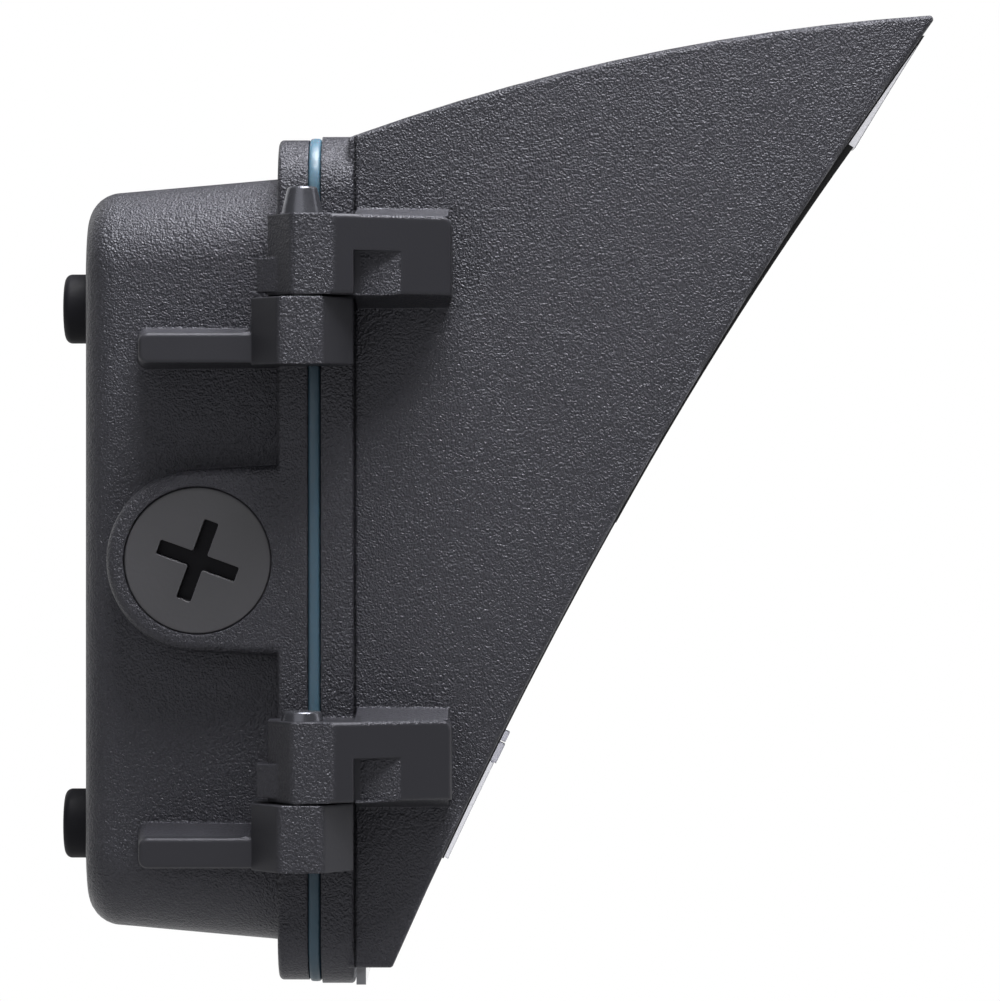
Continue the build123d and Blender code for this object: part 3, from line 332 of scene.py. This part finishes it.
# Closing plug: a satin moulding with a painted highlight along its edges and painted shade down in
# the cross slot, whose floor is also made metallic so its dark colour leaves it without reflection.
# The slot's floor lies below slotFrom and the face above slotTo, in metres from the middle of the
# light.
plugLook = {"base": (0.068, 0.067, 0.075), "gloss": 0.5, "rough": 0.36, "roughPores": 0.10,
            "roughEdge": 0.08, "patchSize": 14.0, "patchTones": (0.88, 1.12), "poreSize": 0.9,
            "poreDepth": 0.05, "edgeRadius": 0.35, "edgeGain": 3.5, "edgeShare": 0.8,
            "edgeTone": 3.0, "slotShadeTone": 0.16, "slotFrom": 0.1178, "slotTo": 0.1185}


def plugPlastic(name, look):
    plug = Finish(name, look["base"], Specular_IOR_Level=look["gloss"])
    spot = plug.place()
    cloud = plug.noise(spot, look["patchSize"], detail=3.0)
    pores = plug.noise(spot, look["poreSize"])
    x = plug.axes(spot)[0]
    above = x.math("ABSOLUTE").step(look["slotFrom"], look["slotTo"])
    rounded = plug.softEdge(look["edgeRadius"])
    edges = plug.edgeMask(rounded, look["edgeGain"])
    tinted = plug.mix(cloud, *[plug.tone(amount) for amount in look["patchTones"]])
    # painted highlight: the plug's edges are lightened
    paintedEdgeHighlight = plug.mix(edges * look["edgeShare"], tinted, plug.tone(look["edgeTone"]))
    # painted shade: the slot's floor gets a dark tone and is made fully metallic, so it reflects
    # almost nothing
    plug.put("Base Color", plug.mix(above, plug.tone(look["slotShadeTone"]), paintedEdgeHighlight))
    plug.put("Metallic", 1 - above)
    plug.put("Roughness", look["rough"] + look["roughPores"] * (pores - 0.5)
             - look["roughEdge"] * edges)
    plug.bump(pores, look["poreDepth"], normal=rounded)
    return plug.material


metalLook = {"patchSize": 12.0, "lineShare": 0.6, "patchShare": 0.4, "tones": (0.80, 1.08),
             "roughLine": 0.18, "roughPatch": 0.10, "lineDepth": 0.006}


# Metal with fine lines along one axis, as rolling, drawing or extruding leaves them.
def linedMetal(name, base, rough, stretch, lineSize=0.35):
    metal = Finish(name, base, Metallic=1.0)
    lines = metal.noise(metal.place(stretch), lineSize, detail=3.0, rough=0.6)
    cloud = metal.noise(metal.place(), metalLook["patchSize"], detail=4.0)
    worn = lines * metalLook["lineShare"] + cloud * metalLook["patchShare"]
    metal.put("Base Color", metal.mix(worn, *[metal.tone(amount) for amount in metalLook["tones"]]))
    metal.put("Roughness", rough + metalLook["roughLine"] * (lines - 0.5)
              + metalLook["roughPatch"] * (cloud - 0.5))
    metal.bump(lines, metalLook["lineDepth"])
    return metal.material


# White solder mask with slightly raised, paler copper runs between rows of lights.
boardLook = {"base": (0.80, 0.81, 0.79), "gloss": 0.5, "rough": 0.34, "roughPatch": 0.08,
             "tilt": 0.6264, "pitch": 12.0, "runWidth": 0.30, "runFade": 0.03, "runShare": 0.5,
             "runTone": (0.70, 0.73, 0.69), "runHeight": 0.04, "patchSize": 9.0,
             "patchTones": (0.96, 1.02)}


def solderMask(name, look):
    mask = Finish(name, look["base"], Specular_IOR_Level=look["gloss"])
    along = mask.axes(mask.place(turn=(look["tilt"], 0, 0)))[1]
    wave = (along * (1000 / look["pitch"])).math("FRACT")
    away = 0.5 - (wave - 0.5).math("ABSOLUTE")
    runs = away.step(look["runWidth"] - look["runFade"], look["runWidth"])
    cloud = mask.noise(mask.place(), look["patchSize"], detail=3.0)
    tinted = mask.mix(cloud, *[mask.tone(amount) for amount in look["patchTones"]])
    mask.put("Base Color", mask.mix(runs * look["runShare"], tinted, look["runTone"]))
    mask.put("Roughness", look["rough"] + look["roughPatch"] * (cloud - 0.5))
    mask.bump(runs, look["runHeight"])
    return mask.material


clearLook = {"index": 1.49, "gloss": 0.5, "flowSize": 35.0, "flowTones": (0.97, 1.03),
             "dustSize": 1.6, "roughDust": 0.05}


# Clear moulding with a faint flow of its colour and a little dust.
def clearPlastic(name, base, rough, transmission, waves=0.02):
    plastic = Finish(name, base, Transmission_Weight=transmission, IOR=clearLook["index"],
                     Specular_IOR_Level=clearLook["gloss"])
    flow = plastic.noise(plastic.place(), clearLook["flowSize"])
    dust = plastic.noise(plastic.place(), clearLook["dustSize"], detail=3.0)
    flowTones = [plastic.tone(amount) for amount in clearLook["flowTones"]]
    plastic.put("Base Color", plastic.mix(flow, *flowTones))
    plastic.put("Roughness", rough + clearLook["roughDust"] * (dust - 0.5).clamp())
    plastic.bump(flow, waves)
    return plastic.material


finishes = {
    "powder_coat": powderCoat("texturedPowderCoat", powderLook, smoothPlaces),
    "pin_coat": smoothSkin("hingePinCoat", (0.112, 0.114, 0.132), 0.26, patch=0.20, peel=1.6,
                           peelDepth=0.05, roundness=0.3, Metallic=0.75),
    "plug_plastic": plugPlastic("plugPlastic", plugLook),
    "bumper_rubber": smoothSkin("bumperRubber", (0.006, 0.006, 0.009), 0.62, peelDepth=0.02,
                                roundness=0.4, Specular_IOR_Level=0.18),
    "teal_silicone": smoothSkin("tealSilicone", (0.062, 0.124, 0.176), 0.42, patch=0.12, peel=1.4,
                                peelDepth=0.12, Subsurface_Weight=0.15, Subsurface_Scale=0.002),
    "black_rubber": smoothSkin("blackRubber", (0.010, 0.010, 0.011), 0.60),
    "strip_black": smoothSkin("stripPlastic", (0.010, 0.010, 0.012), 0.28),
    "clear_lens": clearPlastic("clearLens", (0.93, 0.94, 0.98), 0.03, 1.0),
    "clear_clip": clearPlastic("clearClip", (0.80, 0.80, 0.90), 0.22, 0.75),
    "zinc_screw": linedMetal("zincPlate", (0.58, 0.58, 0.56), 0.36, (1, 1, 1), lineSize=0.8),
    "screw_brass": linedMetal("insertBrass", (0.72, 0.54, 0.25), 0.34, (1, 0.1, 1)),
    "tray_aluminium": linedMetal("rolledAluminium", (0.68, 0.69, 0.70), 0.40, (0.03, 1, 1)),
    "wedge_aluminium": linedMetal("extrudedAluminium", (0.62, 0.63, 0.65), 0.36, (0.02, 1, 1),
                                  lineSize=0.6),
    "reflector_white": smoothSkin("reflectorPaint", (0.82, 0.82, 0.80), 0.42, patch=0.02,
                                  peelDepth=0.02),
    "board_white": solderMask("solderMask", boardLook),
    "led_phosphor": smoothSkin("ledPhosphor", (0.86, 0.62, 0.10), 0.45, patch=0.08),
    "connector_white": smoothSkin("connectorPlastic", (0.78, 0.75, 0.67), 0.42),
    "driver_base": linedMetal("driverCase", (0.50, 0.51, 0.53), 0.42, (0.05, 1, 1)),
    "driver_top": smoothSkin("driverCover", (0.040, 0.040, 0.043), 0.50, peelDepth=0.04),
    "surge_black": smoothSkin("surgeBlock", (0.022, 0.022, 0.024), 0.40),
    "connector_amber": smoothSkin("amberPlastic", (0.75, 0.26, 0.03), 0.25,
                                  Transmission_Weight=0.25),
    "ground_green": linedMetal("greenScrew", (0.05, 0.30, 0.09), 0.35, (1, 1, 1), lineSize=0.8),
    "tin_plate": linedMetal("tinPlate", (0.66, 0.66, 0.65), 0.36, (0.2, 1, 1)),
    "grommet_black": smoothSkin("grommetRubber", (0.014, 0.014, 0.014), 0.55),
    "wire_black": smoothSkin("wireBlack", (0.014, 0.014, 0.015), 0.38, peel=3.0),
    "wire_white": smoothSkin("wireWhite", (0.74, 0.74, 0.71), 0.38, peel=3.0),
    "wire_green": smoothSkin("wireGreen", (0.03, 0.24, 0.06), 0.38, peel=3.0),
    "wire_red": smoothSkin("wireRed", (0.46, 0.025, 0.018), 0.38, peel=3.0),
}
lensRibFinish = clearPlastic("lensRib", (0.93, 0.93, 1.0), 0.14, 0.85)
lensEdgeFinish = clearPlastic("lensEdge", (0.90, 0.90, 0.97), 0.2, 0.55)
ceramicFinish = smoothSkin("ledCeramic", (0.80, 0.79, 0.74), 0.50, patch=0.03)
domeFinish = clearPlastic("ledDome", (0.97, 0.97, 0.97), 0.02, 1.0, waves=0.0)
print("stage: finishes made,", len(bpy.data.materials), "materials")

slotOf = {part["node"]: part["material_slot"] for part in frame["record"]["subparts"]}
for name, node in nodes.items():
    for place in node.material_slots:
        place.material = finishes[slotOf[name]]


def settle(piece, body, materials, stands=()):
    for material in materials:
        piece.data.materials.append(material)
    if stands:
        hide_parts(*stands)
    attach(piece, body)
    return piece


# Door gasket: a rounded-rectangle path with a bulging loop carried along it. The loop is a
# superellipse, so its flanks swell a little past its seats as squeezed silicone does.
gasketLook = {"width": 239.6, "height": 152.4, "corner": 9.8, "band": 6.0, "back": 46.0,
              "front": 48.4, "squareness": 0.45, "cornerSteps": 14, "loopSteps": 28}


def roundedPath(width, height, corner, steps):
    turn = np.linspace(0, math.pi / 2, steps)
    starts = np.arange(4)[:, None] * math.pi / 2
    angle = (starts + turn[None, :]).ravel()
    normals = np.stack([np.cos(angle), np.sin(angle)], axis=1)
    signs = np.array([(1, 1), (-1, 1), (-1, -1), (1, -1)])
    centres = np.repeat(signs * (width / 2 - corner, height / 2 - corner), steps, axis=0)
    return centres + corner * normals, normals


def doorGasket(look):
    path, normals = roundedPath(look["width"], look["height"], look["corner"], look["cornerSteps"])
    t = np.linspace(0, 2 * math.pi, look["loopSteps"], endpoint=False)
    power = look["squareness"]
    out = np.sign(np.cos(t)) * np.abs(np.cos(t)) ** power * look["band"] / 2 - look["band"] / 2
    depth = np.sign(np.sin(t)) * np.abs(np.sin(t)) ** power
    depth = (look["front"] + look["back"]) / 2 + depth * (look["front"] - look["back"]) / 2
    flat = path[:, None, :] + normals[:, None, :] * out[None, :, None]
    depths = np.broadcast_to(depth, flat.shape[:2])
    points = np.stack([flat[..., 0], depths, flat[..., 1]], axis=-1)
    faces = gridFaces(len(path), len(t), closeRows=True, closeColumns=True)
    return outwards(meshFrom("doorGasketBead", points, faces))


settle(doorGasket(gasketLook), "door", [finishes["teal_silicone"]],
       ["door_gasket"])

# Lens: a closed outline in depth and height, carried across the light. Its outside follows the
# slanted edge, and its inside has shallow flutes, |sin(pi h / fluteSize)|, that run across it.
# Each rib is (bottom, top, how proud it is at the bottom, and at the top).
lensLook = {"half": 115.0, "recess": 0.4, "thickness": 2.8, "jointGap": 0.3, "floorTop": -69.7,
            "floorBottom": -72.4, "lipBack": 54.6, "lipFront": 56.3, "lipBottom": -76.3,
            "fluteSize": 4.0, "fluteDepth": 0.35, "outerSteps": 120, "innerSteps": 420,
            "ribWidth": 6.0, "ribSteps": 40, "ribSink": 0.02, "roofFrom": 60, "roofSteps": 2000,
            "ribs": ((-53.2, -36.0, 1.15, 1.15), (7.0, 75.0, 0.35, 0.35), (75.0, 94.0, 1.7, 0.4))}


# Highest height at which the edge, moved out by proud, is still under the roof.
def underRoof(proud, look):
    heights = np.linspace(look["roofFrom"], hood["slantTop"][1], look["roofSteps"])
    points = slantAt(heights, proud)
    inside = np.hypot(*(points - topCentre).T) <= topRadius - hood["wall"] - look["jointGap"]
    return heights[inside].max()


def lensPiece(look):
    outer = -look["recess"]
    inner = outer - look["thickness"]
    high = np.linspace(look["floorBottom"], underRoof(outer, look), look["outerSteps"])
    outside = slantAt(high, outer)
    low = np.linspace(underRoof(inner, look), look["floorTop"], look["innerSteps"])
    wave = np.abs(np.sin(math.pi * low / look["fluteSize"]))
    inside = slantAt(low, inner + look["fluteDepth"] * (1 - wave))
    lip = np.array([(look["lipBack"], look["floorTop"]), (look["lipBack"], look["lipBottom"]),
                    (look["lipFront"], look["lipBottom"]), (look["lipFront"], look["floorBottom"])])
    outline = np.concatenate([outside, inside, lip])
    across = np.array([-look["half"], look["half"]])
    x = np.repeat(across, len(outline)).reshape(2, -1)
    both = np.broadcast_to(outline, (2, len(outline), 2))
    points = [np.concatenate([x[..., None], both], axis=-1).reshape(-1, 3)]
    faces = cappedFaces(2, len(outline))
    plateFaces = len(faces)
    ribSteps = look["ribSteps"]
    for side in (-1, 1):
        for bottom, top, proudLow, proudHigh in look["ribs"]:
            first = sum(len(part) for part in points)
            rows = np.linspace(bottom, min(top, underRoof(0.0, look)), ribSteps)
            proud = np.linspace(proudLow, proudHigh, ribSteps)
            near, far = side * np.array([look["half"] - look["ribWidth"], look["half"]])
            inCurve = slantAt(rows, outer - look["ribSink"])
            outCurve = slantAt(rows, proud)
            corners = [(near, inCurve), (far, inCurve), (far, outCurve), (near, outCurve)]
            ring = np.stack([np.column_stack([np.full(ribSteps, edge), curve])
                             for edge, curve in corners], axis=1)
            points.append(ring.reshape(-1, 3))
            faces += cappedFaces(ribSteps, len(corners), first)
    piece = meshFrom("lensWithFlutes", np.concatenate(points), faces)
    # the plate's two ends take the third material and the ribs the second
    marks = np.zeros(len(faces), dtype=np.int32)
    marks[plateFaces - 2:plateFaces] = 2
    marks[plateFaces:] = 1
    for finish in (finishes["clear_lens"], lensRibFinish, lensEdgeFinish):
        piece.data.materials.append(finish)
    piece.data.polygons.foreach_set("material_index", marks)
    return outwards(piece)


settle(lensPiece(lensLook), "door", [], ["lens"])
print("stage: gasket and lens made")

# Lights: one base, phosphor square and dome worked out on the board's plane, copied to every place.
lightLook = {"columns": 10, "rows": 3, "pitchAcross": 12.5, "pitchUp": 12.0, "side": 3.5,
             "base": 0.9, "dome": 1.5, "domeRows": 7, "domeColumns": 16, "phosphor": 1.15,
             "glow": 0.05, "bevel": 0.25, "baseCut": 0.12, "glowCut": 0.05}
wedgeSize = {"top": 38.0, "bottom": -9.0, "front": 42.5, "reach": 34.0, "board": 1.6}


# Turns (across, up the board, out of the board) into (x, depth, height).
def onBoard(points):
    rise = wedgeSize["top"] - wedgeSize["bottom"]
    length = math.hypot(rise, wedgeSize["reach"])
    outDepth, outHeight = rise / length, -wedgeSize["reach"] / length
    upDepth, upHeight = wedgeSize["reach"] / length, rise / length
    middleDepth = wedgeSize["front"] + wedgeSize["reach"] / 2
    middleHeight = (wedgeSize["top"] + wedgeSize["bottom"]) / 2
    across, up, out = np.moveaxis(points, -1, 0)
    return np.stack([across, middleDepth + up * upDepth + out * outDepth,
                     middleHeight + up * upHeight + out * outHeight], axis=-1)


# Rings of a square with cut corners at several (half side, out) stages, closed at the top.
def squareStack(stages, cut):
    corner = np.array([(1, 1 - cut), (1 - cut, 1), (cut - 1, 1), (-1, 1 - cut),
                       (-1, cut - 1), (cut - 1, -1), (1 - cut, -1), (1, cut - 1)])
    rings = [np.column_stack([corner * half, np.full(len(corner), out)]) for half, out in stages]
    return np.array(rings)


def ledLights(look):
    low = wedgeSize["board"]
    high = low + look["base"]
    half = look["side"] / 2
    bevel = look["bevel"]
    base = squareStack([(half, low), (half, high - bevel), (half - bevel, high)], look["baseCut"])
    glow = squareStack([(look["phosphor"], high), (look["phosphor"], high + look["glow"])],
                       look["glowCut"])
    t = np.linspace(0, math.pi / 2, look["domeRows"])[:, None]
    a = np.linspace(0, 2 * math.pi, look["domeColumns"], endpoint=False)[None, :]
    dome = np.stack([look["dome"] * np.cos(t) * np.cos(a), look["dome"] * np.cos(t) * np.sin(a),
                     high + look["dome"] * np.sin(t) + 0 * a], axis=-1)
    across = (np.arange(look["columns"]) - (look["columns"] - 1) / 2) * look["pitchAcross"]
    up = (np.arange(look["rows"]) - (look["rows"] - 1) / 2) * look["pitchUp"]
    spots = np.stack(np.meshgrid(across, up, [0.0], indexing="ij"), axis=-1).reshape(-1, 1, 3)
    points, faces, marks = [], [], []
    first = 0
    for mark, form in enumerate((base, glow, dome)):
        rows, columns = form.shape[:2]
        copies = onBoard(form.reshape(1, -1, 3) + spots)
        for number in range(len(spots)):
            added = cappedFaces(rows, columns, first + number * rows * columns)
            faces += added
            marks += [mark] * len(added)
        points.append(copies.reshape(-1, 3))
        first += len(spots) * rows * columns
    piece = meshFrom("ledLights", np.concatenate(points), faces)
    for material in (ceramicFinish, finishes["led_phosphor"], domeFinish):
        piece.data.materials.append(material)
    piece.data.polygons.foreach_set("material_index", np.array(marks, dtype=np.int32))
    return outwards(piece)


settle(ledLights(lightLook), "housing", [], ["led_packages"])

# Threads of the door screws: a helix ridge with a triangular section, which rises from root to
# crest and fades in and out over half a turn at its ends.
threadLook = {"x": 127.0, "height": 46.0, "root": 2.4, "crest": 2.82, "pitch": 1.0, "start": 39.4,
              "end": 56.0, "turnSteps": 28, "halfRidge": 0.42, "sharpAbove": 70}


def screwThread(name, height, look):
    turns = (look["end"] - look["start"]) / look["pitch"]
    a = np.linspace(0, 2 * math.pi * turns, int(turns * look["turnSteps"]))[:, None]
    shift = np.array([-1.0, 0.0, 1.0])[None, :] * look["halfRidge"] * look["pitch"]
    fade = np.clip(np.minimum(a, a[::-1]) / math.pi, 0, 1)
    radius = look["root"] + np.array([0, 1, 0])[None, :] * (look["crest"] - look["root"]) * fade
    depth = look["start"] + a / (2 * math.pi) * look["pitch"] + shift
    points = np.stack([look["x"] + radius * np.cos(a), depth, height + radius * np.sin(a)], axis=-1)
    return outwards(meshFrom(name, points, cappedFaces(len(a), 3)),
                    sharpAbove=look["sharpAbove"])


for name, side in (("upper", 1), ("lower", -1)):
    thread = screwThread(name + "ScrewThread", side * threadLook["height"], threadLook)
    settle(thread, name + "_screw", [finishes["zinc_screw"]])
print("stage: lights and threads made")

# Floor, world, lamps and camera. The floor looks near white to the camera and is darker to other
# rays, and past plainFrom metres it goes over to plain white.
stageLook = {"floorHeight": -0.42, "floorHalf": 6.0, "plainFrom": 0.45, "plainTo": 1.1,
             "base": (0.80, 0.80, 0.80), "rough": 0.9, "grainSize": 4.0, "paleTones": (0.79, 0.81),
             "nearLift": 0.45, "farLift": 0.55, "worldLight": 0.10, "unseenFloor": 0.11}


def paleFloor(look):
    half = look["floorHalf"]
    corners = [(-half, -half), (half, -half), (half, half), (-half, half)]
    mesh = bpy.data.meshes.new("paleFloor")
    mesh.from_pydata([(x, y, look["floorHeight"]) for x, y in corners], [], [(0, 1, 2, 3)])
    floor = bpy.data.objects.new("paleFloor", mesh)
    bpy.context.scene.collection.objects.link(floor)
    paint = Finish("floorPaint", look["base"], Roughness=look["rough"], Specular_IOR_Level=0.0)
    seen = seenRays(paint)
    spot = paint.place()
    radius = paint.add("ShaderNodeVectorMath", {"operation": "LENGTH"}, {0: spot}, out="Value")
    away = radius.step(look["plainFrom"], look["plainTo"])
    grain = paint.noise(spot, look["grainSize"])
    pale = paint.mix(grain, *[(tone,) * 3 for tone in look["paleTones"]])
    paint.put("Base Color", paint.mix(seen, (look["unseenFloor"],) * 3, pale))
    shine = paint.add("ShaderNodeEmission", {}, {"Color": (1, 1, 1, 1), "Strength": 1.0})
    painted = Wire(paint, paint.shader.outputs[0])
    lift = look["nearLift"] + look["farLift"] * away
    lifted = paint.add("ShaderNodeMixShader", {}, {0: lift, 1: painted, 2: shine})
    final = paint.add("ShaderNodeMixShader", {}, {0: seen, 1: painted, 2: lifted})
    output = next(node for node in paint.tree.nodes if node.type == "OUTPUT_MATERIAL")
    paint.tree.links.new(final.socket, output.inputs[0])
    mesh.materials.append(paint.material)


# 1 for camera, glossy and transmitted rays
def seenRays(finish):
    path = finish.add("ShaderNodeLightPath", {}, {}).socket.node
    camera, glossy, through = (Wire(finish, path.outputs[word]) for word in
                               ("Is Camera Ray", "Is Glossy Ray", "Is Transmission Ray"))
    return (camera + glossy + through).clamp()


# White to the camera and to transmitted rays, a faint light to all others
def plainWorld(look):
    world = bpy.data.worlds.new("plainWorld")
    bpy.context.scene.world = world
    world.use_nodes = True
    tree = world.node_tree
    tree.nodes.clear()
    path = tree.nodes.new("ShaderNodeLightPath")
    seen = tree.nodes.new("ShaderNodeMath")
    seen.operation = "ADD"
    seen.use_clamp = True
    tree.links.new(path.outputs["Is Camera Ray"], seen.inputs[0])
    tree.links.new(path.outputs["Is Transmission Ray"], seen.inputs[1])
    light = tree.nodes.new("ShaderNodeBackground")
    light.inputs["Strength"].default_value = look["worldLight"]
    shown = tree.nodes.new("ShaderNodeBackground")
    shown.inputs["Color"].default_value = (1, 1, 1, 1)
    mix = tree.nodes.new("ShaderNodeMixShader")
    tree.links.new(seen.outputs[0], mix.inputs[0])
    tree.links.new(light.outputs[0], mix.inputs[1])
    tree.links.new(shown.outputs[0], mix.inputs[2])
    light.inputs["Color"].default_value = (1, 1, 1, 1)
    output = tree.nodes.new("ShaderNodeOutputWorld")
    tree.links.new(mix.outputs[0], output.inputs[0])


lamps = {"topSoftbox": {"place": (-0.22, -0.16, 0.64), "size": (0.42, 0.42), "power": 13.5},
         "sideSoftbox": {"place": (-1.30, 0.35, 0.55), "size": (1.2, 1.2), "power": 3.8},
         "frontSoftbox": {"place": (0.50, -1.40, 0.55), "size": (1.2, 1.2), "power": 9.0},
         "backSoftbox": {"place": (1.00, 1.00, 0.60), "size": (1.2, 1.2), "power": 4.6}}


lampTarget = (0.0, -0.06, 0.0)


def softbox(name, look):
    lamp = bpy.data.lights.new(name, "AREA")
    lamp.shape = "RECTANGLE"
    lamp.size, lamp.size_y = look["size"]
    lamp.energy = look["power"]
    holder = bpy.data.objects.new(name, lamp)
    place = np.array(look["place"])
    back = place - np.array(lampTarget)
    back /= np.linalg.norm(back)
    right = np.cross((0, 0, 1), back)
    right /= np.linalg.norm(right)
    turn = np.eye(4)
    turn[:3, :3] = np.column_stack([right, np.cross(back, right), back])
    turn[:3, 3] = place
    holder.matrix_world = Matrix(turn.tolist())
    holder.visible_camera = False
    bpy.context.scene.collection.objects.link(holder)


cameraLook = {"place": (-0.870, -0.0804, 0.01214), "viewWidth": 0.1786, "distance": 0.750,
              "sensor": 36.0, "clipStart": 0.01}


# Looks along +X with the front of the light on the right, as the photograph does.
def sideCamera(look):
    camera = bpy.data.cameras.new("sideCamera")
    camera.sensor_fit = "HORIZONTAL"
    camera.sensor_width = look["sensor"]
    camera.lens = look["sensor"] * look["distance"] / look["viewWidth"]
    camera.clip_start = look["clipStart"]
    holder = bpy.data.objects.new("sideCamera", camera)
    x, y, z = look["place"]
    holder.matrix_world = Matrix(((0, 0, -1, x), (-1, 0, 0, y), (0, 1, 0, z), (0, 0, 0, 1)))
    bpy.context.scene.collection.objects.link(holder)
    bpy.context.scene.camera = holder


paleFloor(stageLook)
plainWorld(stageLook)
for name, look in lamps.items():
    softbox(name, look)
sideCamera(cameraLook)
bpy.context.scene.view_settings.view_transform = "Standard"
print("stage: floor, lamps and camera set")
